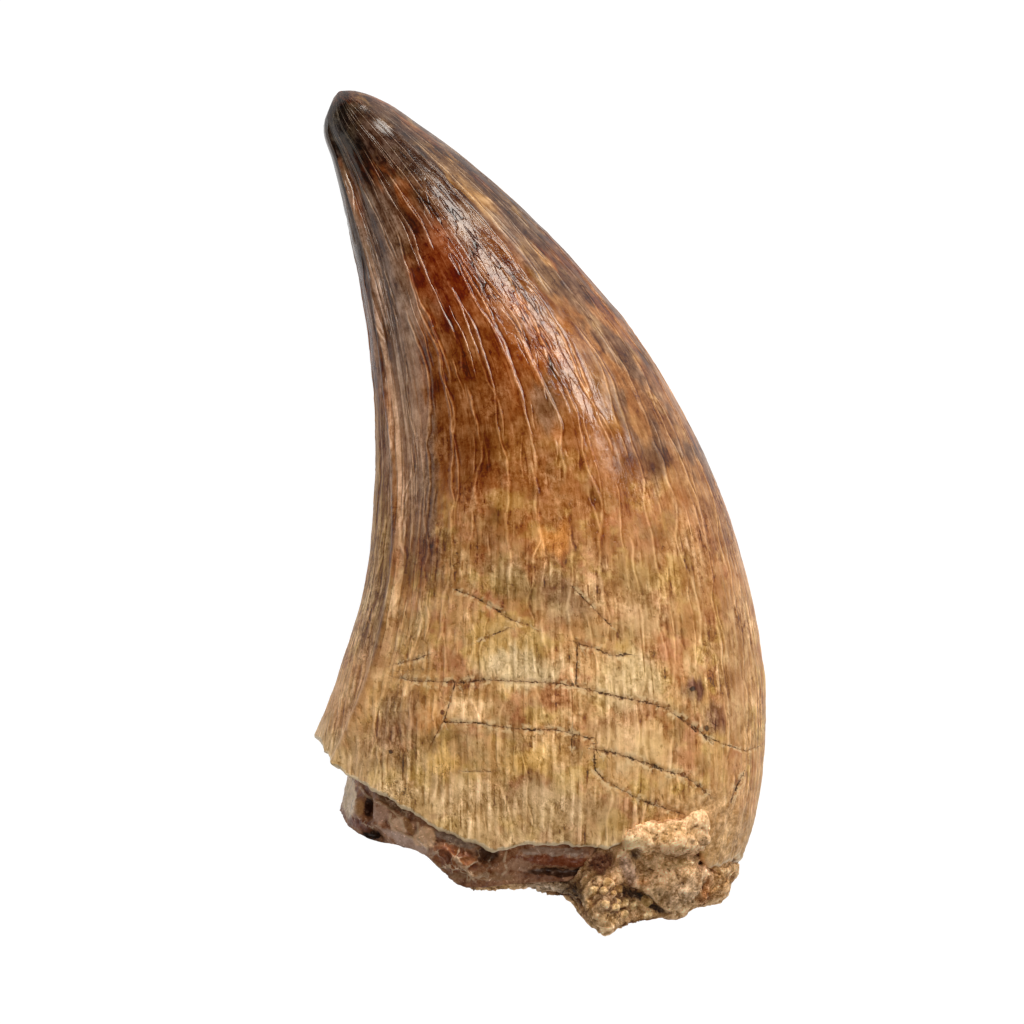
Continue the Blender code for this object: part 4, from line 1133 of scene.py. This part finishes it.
# Lumps and hollows: place, half length and half width, turn, height, in millimetres
MATRIX_LUMPS = [
    ((9.5, -23.2), (2.2, 0.50), 8, 0.40),
    ((9.4, -22.7), (1.6, 0.18), 8, -0.20),
    ((6.7, -24.3), (0.60, 0.45), 0, 0.55),
    ((6.9, -25.3), (0.40, 0.40), 0, -0.60),
    ((7.8, -25.5), (0.45, 0.40), 0, 0.25),
    ((9.4, -24.5), (2.0, 0.8), 4, 0.65),
    ((9.8, -25.6), (1.5, 0.45), 5, -0.20),
    ((8.6, -26.9), (1.2, 0.9), 10, 0.60),
    ((9.8, -26.2), (1.6, 0.35), 12, 0.25),
    ((12.8, -25.4), (1.4, 0.85), -10, 0.45),
    ((11.7, -23.4), (0.55, 1.6), 8, 0.55),
    ((12.2, -25.3), (0.65, 1.3), 0, 1.3),
    ((11.8, -26.0), (0.22, 0.18), 0, -0.70),
    ((12.3, -26.5), (0.9, 0.20), -25, -0.60),
    ((13.9, -26.2), (0.8, 0.20), 20, -0.50),
    ((10.2, -28.0), (2.2, 1.3), 30, 0.50),
    ((11.8, -28.3), (0.28, 1.2), -20, -0.45),
    ((13.1, -27.9), (0.95, 1.1), 10, 0.35),
    ((4.5, -25.9), (1.0, 1.1), 0, -0.35),
    ((6.5, -26.6), (0.45, 1.3), 14, 0.55),
    ((6.9, -28.2), (1.3, 0.26), -24, -0.90),
    ((8.3, -29.2), (0.9, 0.24), -30, -0.80),
    ((4.8, -30.4), (1.0, 0.6), 10, 0.30),
    ((2.0, -29.4), (1.1, 0.9), -45, -1.10),
    ((0.6, -28.6), (0.9, 0.5), -20, -0.40),
    ((6.4, -30.9), (0.6, 0.5), 0, -0.40),
    ((8.4, -30.6), (1.4, 0.5), 8, -0.45),
    ((11.6, -30.1), (1.2, 0.6), 15, -0.70),
    ((14.4, -27.9), (0.5, 0.9), 0, -0.40),
]
# Where the crust is drawn out in fibres, and where grains lie loose on it
MATRIX_FIBRES = [((10.4, -28.0), (2.2, 1.4), 30, 1.0), ((2.2, -28.2), (1.4, 1.5), -40, 1.0), ((13.2, -24.8), (1.4, 1.4), 0, 0.6)]
LOOSE_GRAINS = [((5.4, -28.6), (2.0, 1.1), -32, 1.0), ((6.8, -29.4), (1.3, 0.6), 0, 0.8)]
MATRIX_FORMS_FROM = 0.005


def build_matrix():
    """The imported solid, joined up and remeshed finely enough to carry sand."""
    matrix = bpy.data.objects.new("sandy_matrix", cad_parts["matrix"].data.copy())
    bpy.context.collection.objects.link(matrix)
    matrix.data.materials.clear()
    joined = bmesh.new()
    joined.from_mesh(matrix.data)
    bmesh.ops.remove_doubles(joined, verts=joined.verts, dist=0.000002)
    bmesh.ops.recalc_face_normals(joined, faces=joined.faces)
    joined.to_mesh(matrix.data)
    joined.free()
    even = matrix.modifiers.new("even", "REMESH")
    even.mode = "VOXEL"
    even.voxel_size = MATRIX_VOXEL
    soft = matrix.modifiers.new("soft", "SMOOTH")
    soft.factor = 0.5
    soft.iterations = 6
    made = bpy.data.meshes.new_from_object(matrix.evaluated_get(bpy.context.evaluated_depsgraph_get()))
    matrix.modifiers.clear()
    matrix.data = made
    made.shade_smooth()
    points = np.array([vert.co for vert in made.vertices])
    write_attribute(matrix, "form", "FLOAT", oval_lumps(MATRIX_LUMPS, points, MATRIX_FORMS_FROM))
    write_attribute(matrix, "fibrous", "FLOAT", np.clip(oval_lumps(MATRIX_FIBRES, points) / MM, 0, 1))
    write_attribute(matrix, "loose", "FLOAT", np.clip(oval_lumps(LOOSE_GRAINS, points) / MM, 0, 1))
    return matrix


def creases(tree, place, size):
    """Winding creases, from 0 on the lumps to 1 in the crease."""
    swirl = grain(tree, place, calc(tree, "DIVIDE", 1.0, size), 3.0, 0.6, 0.6)
    return grade(tree, calc(tree, "ABSOLUTE", calc(tree, "SUBTRACT", swirl, 0.5)), 0.0, 0.06, 1.0, 0.0)


def fibres(tree, place):
    """Fine fibres that run up to the right, from 0 to 1."""
    turned = node(tree, "ShaderNodeVectorRotate", {"Vector": place, "Angle": math.radians(-42)}).outputs[0]
    return grain(tree, stretched(tree, turned, (0.35, 2.0, 0.8)), 1.3, 3.0, 0.6)


def matrix_relief_tree():
    """Lumps, creases, fibres and sand grains over the whole crust."""
    tree, given = new_nodes("matrix_relief", MATRIX_RELIEF)
    place = stretched(tree, node(tree, "GeometryNodeInputPosition").outputs[0], (1000.0, 1000.0, 1000.0))
    lumps = grain(tree, place, calc(tree, "DIVIDE", 1.0, given["Lump size"]), 3.0, 0.55, 0.3)
    inputs = {"Vector": place, "Scale": calc(tree, "DIVIDE", 1.0, given["Grain size"])}
    sand = node(tree, "ShaderNodeTexVoronoi", inputs, feature="SMOOTH_F1").outputs["Distance"]
    depth = calc(tree, "MULTIPLY", given["Crease depth"], -1.0)
    drawn = calc(tree, "MULTIPLY", swing(tree, fibres(tree, place), 2.0), read_number(tree, "fibrous"))
    fine = total(
        tree,
        calc(tree, "MULTIPLY", swing(tree, lumps, 5.0), given["Lump height"]),
        calc(tree, "MULTIPLY", creases(tree, place, given["Crease size"]), depth),
        calc(tree, "MULTIPLY", calc(tree, "SUBTRACT", 0.45, sand), given["Grain height"]),
        calc(tree, "MULTIPLY", drawn, given["Fibre height"]),
    )
    height = calc(tree, "ADD", fine, read_number(tree, "form"))
    geometry = node(tree, "GeometryNodeStoreNamedAttribute", {
        "Geometry": given["Geometry"], "Name": "proud", "Value": height}, data_type="FLOAT", domain="POINT").outputs[0]
    end_nodes(tree, raised(tree, geometry, height), given["Finish"])
    return tree


# Stains of the crust, and ovals of painted shade in its hollows, crevices and under the grains: place, half length and
# half width, turn, colour, strength
MATRIX_STAINS_AND_SHADE = [
    ((9.5, -23.8), (2.4, 0.9), 8, (224, 174, 114), 0.9),
    # Painted shadow: the line along the top of the crust's upper crest
    ((9.4, -22.7), (1.7, 0.16), 8, (176, 110, 58), 0.7),
    ((6.6, -24.4), (0.85, 0.65), 0, (255, 220, 164), 0.9),
    # Painted shade: a dark pit
    ((7.0, -25.3), (0.5, 0.5), 0, (96, 68, 46), 0.8),
    ((7.8, -25.5), (0.4, 0.4), 0, (206, 142, 70), 0.85),
    ((10.2, -25.4), (1.4, 0.45), 5, (206, 162, 116), 0.8),
    ((9.8, -26.2), (1.6, 0.35), 12, (214, 176, 118), 0.85),
    ((12.9, -25.2), (1.5, 1.0), -10, (196, 156, 108), 0.8),
    ((8.0, -26.1), (1.0, 0.8), 0, (206, 164, 116), 0.8),
    # Painted shade: a dark hole
    ((11.8, -26.0), (0.24, 0.20), 0, (40, 24, 14), 0.95),
    # Painted shade: a dark crevice
    ((12.3, -26.6), (1.0, 0.20), -25, (150, 92, 52), 0.8),
    ((8.8, -27.0), (1.2, 0.7), 10, (226, 176, 122), 0.85),
    ((10.6, -28.0), (2.2, 1.3), 30, (180, 140, 100), 0.8),
    ((8.4, -27.9), (0.9, 0.7), 0, (204, 166, 122), 0.7),
    ((7.6, -27.4), (0.6, 0.32), 0, (186, 118, 54), 0.8),
    ((12.2, -28.0), (0.5, 1.3), -20, (190, 118, 56), 0.8),
    ((13.2, -27.8), (0.9, 1.1), 10, (206, 150, 88), 0.8),
    ((4.5, -25.9), (1.1, 1.0), 0, (176, 122, 92), 0.95),
    ((6.5, -26.6), (0.60, 1.4), 14, (188, 146, 116), 0.95),
    # Painted shade: two dark creases
    ((7.0, -28.3), (1.6, 0.36), -24, (52, 30, 16), 0.9),
    ((8.4, -29.3), (1.1, 0.30), -30, (60, 34, 16), 0.9),
    # Painted shade: the dark gaps between the loose grains
    ((5.4, -28.8), (2.2, 1.1), -32, (124, 84, 48), 0.8),
    ((4.9, -30.2), (1.6, 0.7), 10, (224, 178, 122), 0.85),
    ((8.0, -30.2), (1.8, 0.4), 10, (170, 122, 68), 0.8),
    ((2.0, -28.0), (1.6, 1.0), -40, (138, 112, 84), 0.8),
    ((-1.6, -27.2), (4.0, 0.6), -4, (158, 116, 78), 0.8),
    ((0.3, -27.9), (1.5, 0.5), -10, (206, 176, 146), 0.85),
]


def sandstone_material(name, dark, pale, spots):
    """Cemented sand: tan, speckled with dark and pale grains, with painted shade in its creases and low places and
    painted light on its proud lumps.
    """
    made, tree, shader, place = new_material(name)
    cloud = grain(tree, place, 0.5, 3.0, 0.6)
    color = mixed(tree, grade(tree, cloud, 0.35, 0.65), tint(*dark), tint(*pale))
    moved = drifted(tree, place, place, 0.9, (1.3, 1.3, 1.3))
    shown = upper_side(tree, place)
    for spot in spots:
        color = stain_or_painted_light(tree, color, moved, spot, shown=shown)
    # Painted shade and light: darker in low places and creases, lighter on proud lumps
    proud = grade(tree, attribute(tree, "proud"), -0.0005, 0.0004, -0.15, 0.14, "LINEAR")
    mottle = swing(tree, grain(tree, place, 1.5, 6.0, 0.86), 1.8)
    crease_shade = calc(tree, "MULTIPLY", creases(tree, place, MATRIX_RELIEF["Crease size"]), -0.14)
    drawn = calc(tree, "MULTIPLY", swing(tree, fibres(tree, place), 0.7), attribute(tree, "fibrous"))
    holes = calc(tree, "MULTIPLY", grade(tree, grain(tree, place, 2.2, 2.0, 0.6), 0.64, 0.70), -0.22)
    grains = calc(tree, "MULTIPLY", grade(tree, grain(tree, place, 3.0, 2.0, 0.6), 0.62, 0.68), 0.12)
    color = shaded(tree, color, total(tree, proud, mottle, crease_shade, drawn, holes, grains))
    tree.links.new(color, shader.inputs["Base Color"])
    shader.inputs["Roughness"].default_value = 0.82
    height = calc(tree, "ADD", calc(tree, "MULTIPLY", mottle, 0.12), calc(tree, "MULTIPLY", holes, 0.5))
    inputs = {"Height": height, "Distance": 0.001, "Strength": 1.0}
    tree.links.new(node(tree, "ShaderNodeBump", inputs).outputs[0], shader.inputs["Normal"])
    return made


matrix = build_matrix()
crust = sandstone_material("cemented_sand", (216, 166, 114), (250, 204, 148), MATRIX_STAINS_AND_SHADE)
matrix = apply_nodes(matrix, matrix_relief_tree(), {**MATRIX_RELIEF, "Finish": crust})
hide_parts("matrix")
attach(matrix, "root")

# Matrix grains
# In a hollow at the lower right, sand grains the size of a pinhead stand free of the crust, with dark gaps
# between them, which are partly painted shade on the crust below. They are still held at their undersides by the
# cement.
GRAIN_SIZES = {"Grain gap": 0.00078, "Least size": 0.00026, "Greatest size": 0.00052, "Dent depth": 0.00020}
GRAIN_SEED = 4


def loose_grains_tree():
    """Dented grains, strewn over the part of the crust that is marked as loose."""
    tree, given = new_nodes("loose_grains", GRAIN_SIZES)
    strewn = node(tree, "GeometryNodeDistributePointsOnFaces", {
        "Mesh": given["Geometry"], "Distance Min": given["Grain gap"], "Density Max": 6000000.0,
        "Density Factor": grade(tree, read_number(tree, "loose"), 0.35, 0.45), "Seed": GRAIN_SEED,
    }, distribute_method="POISSON")
    ball = node(tree, "GeometryNodeMeshIcoSphere", {"Radius": 1.0, "Subdivisions": 3}).outputs[0]
    turn = node(tree, "FunctionNodeRandomValue", {0: (0.0, 0.0, 0.0), 1: (6.3, 6.3, 6.3), "Seed": 1}, data_type="FLOAT_VECTOR")
    least = node(tree, "ShaderNodeCombineXYZ", {i: given["Least size"] for i in range(3)}).outputs[0]
    greatest = node(tree, "ShaderNodeCombineXYZ", {i: given["Greatest size"] for i in range(3)}).outputs[0]
    size = node(tree, "FunctionNodeRandomValue", {0: least, 1: greatest, "Seed": 2}, data_type="FLOAT_VECTOR")
    grains = node(tree, "GeometryNodeInstanceOnPoints", {
        "Points": strewn.outputs["Points"], "Instance": ball, "Rotation": turn.outputs[0], "Scale": size.outputs[0],
    }).outputs[0]
    real = node(tree, "GeometryNodeRealizeInstances", {0: grains}).outputs[0]
    place = stretched(tree, node(tree, "GeometryNodeInputPosition").outputs[0], (1000.0, 1000.0, 1000.0))
    dents = calc(tree, "MULTIPLY", swing(tree, grain(tree, place, 1.7, 3.0, 0.6), 3.0), given["Dent depth"])
    real = node(tree, "GeometryNodeSetShadeSmooth", {"Geometry": real}).outputs[0]
    end_nodes(tree, raised(tree, real, dents), given["Finish"])
    return tree


grains = bpy.data.objects.new("matrix_grains", matrix.data.copy())
bpy.context.collection.objects.link(grains)
sand = sandstone_material("loose_sand", (226, 178, 120), (252, 214, 156), [])
grains = apply_nodes(grains, loose_grains_tree(), {**GRAIN_SIZES, "Finish": sand})
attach(grains, "root")

# Table top
# A plain white table, lit so evenly that no hard shadow falls on it.
FLOOR_SIZE = 3.0


def build_floor():
    """A flat square, just under the tooth."""
    mesh = bpy.data.meshes.new("floor")
    half = FLOOR_SIZE / 2
    mesh.from_pydata([(-half, -half, 0), (half, -half, 0), (half, half, 0), (-half, half, 0)], [], [(0, 1, 2, 3)])
    floor = bpy.data.objects.new("floor", mesh)
    floor.location.z = -0.00005
    bpy.context.collection.objects.link(floor)
    made = bpy.data.materials.new("white_table")
    made.use_nodes = True
    shader = made.node_tree.nodes["Principled BSDF"]
    shader.inputs["Base Color"].default_value = (0.06, 0.06, 0.06, 1)
    shader.inputs["Roughness"].default_value = 0.9
    shader.inputs["Emission Color"].default_value = (1.0, 1.0, 1.0, 1)
    shader.inputs["Emission Strength"].default_value = 1.0
    mesh.materials.append(made)
    return floor


build_floor()

# Lights and camera
# Three soft boxes and a pale room. The box beyond the tip draws the long gleam down the crown.
MIDDLE = Vector((0.0, 0.0, 0.009))
SOFT_BOXES = {
    "beyond_tip": {"toward": (0.30, 0.85, 0.38), "away": 0.7, "size": (0.52, 0.21), "roll": -16, "power": 5.5},
    "overhead": {"toward": (0.25, -0.10, 0.95), "away": 0.8, "size": (0.5, 0.5), "roll": 0, "power": 2.25},
    "left": {"toward": (-0.95, 0.25, 0.20), "away": 0.8, "size": (0.30, 0.25), "roll": 0, "power": 0.35},
}
ROOM_LIGHT = 0.09
WARM_WHITE = (1.0, 0.955, 0.88)
FRAME_WIDTH = 0.075776
CAMERA_HEIGHT = 1.5
SENSOR = 36.0


def build_lights():
    """The soft boxes and the pale room."""
    for name, box in SOFT_BOXES.items():
        lamp = bpy.data.lights.new(name, "AREA")
        lamp.shape = "RECTANGLE"
        lamp.size, lamp.size_y = box["size"]
        lamp.energy = box["power"]
        lamp.color = WARM_WHITE
        holder = bpy.data.objects.new(name, lamp)
        toward = Vector(box["toward"]).normalized()
        holder.location = MIDDLE + toward * box["away"]
        holder.rotation_euler = toward.to_track_quat("Z", "Y").to_euler()
        holder.rotation_euler.rotate_axis("Z", math.radians(box["roll"]))
        bpy.context.collection.objects.link(holder)
    world = bpy.data.worlds.new("room")
    world.use_nodes = True
    world.node_tree.nodes["Background"].inputs["Color"].default_value = (*WARM_WHITE, 1)
    world.node_tree.nodes["Background"].inputs["Strength"].default_value = ROOM_LIGHT
    bpy.context.scene.world = world


def build_camera():
    """A long lens that looks straight down."""
    lens = bpy.data.cameras.new("camera")
    lens.sensor_width = SENSOR
    lens.lens = SENSOR * (CAMERA_HEIGHT - MIDDLE.z) / FRAME_WIDTH
    lens.clip_start = 0.01
    camera = bpy.data.objects.new("camera", lens)
    camera.location = (-0.0021, -0.0002, CAMERA_HEIGHT)
    bpy.context.collection.objects.link(camera)
    bpy.context.scene.camera = camera


build_lights()
build_camera()
bpy.context.scene.view_settings.view_transform = "Standard"
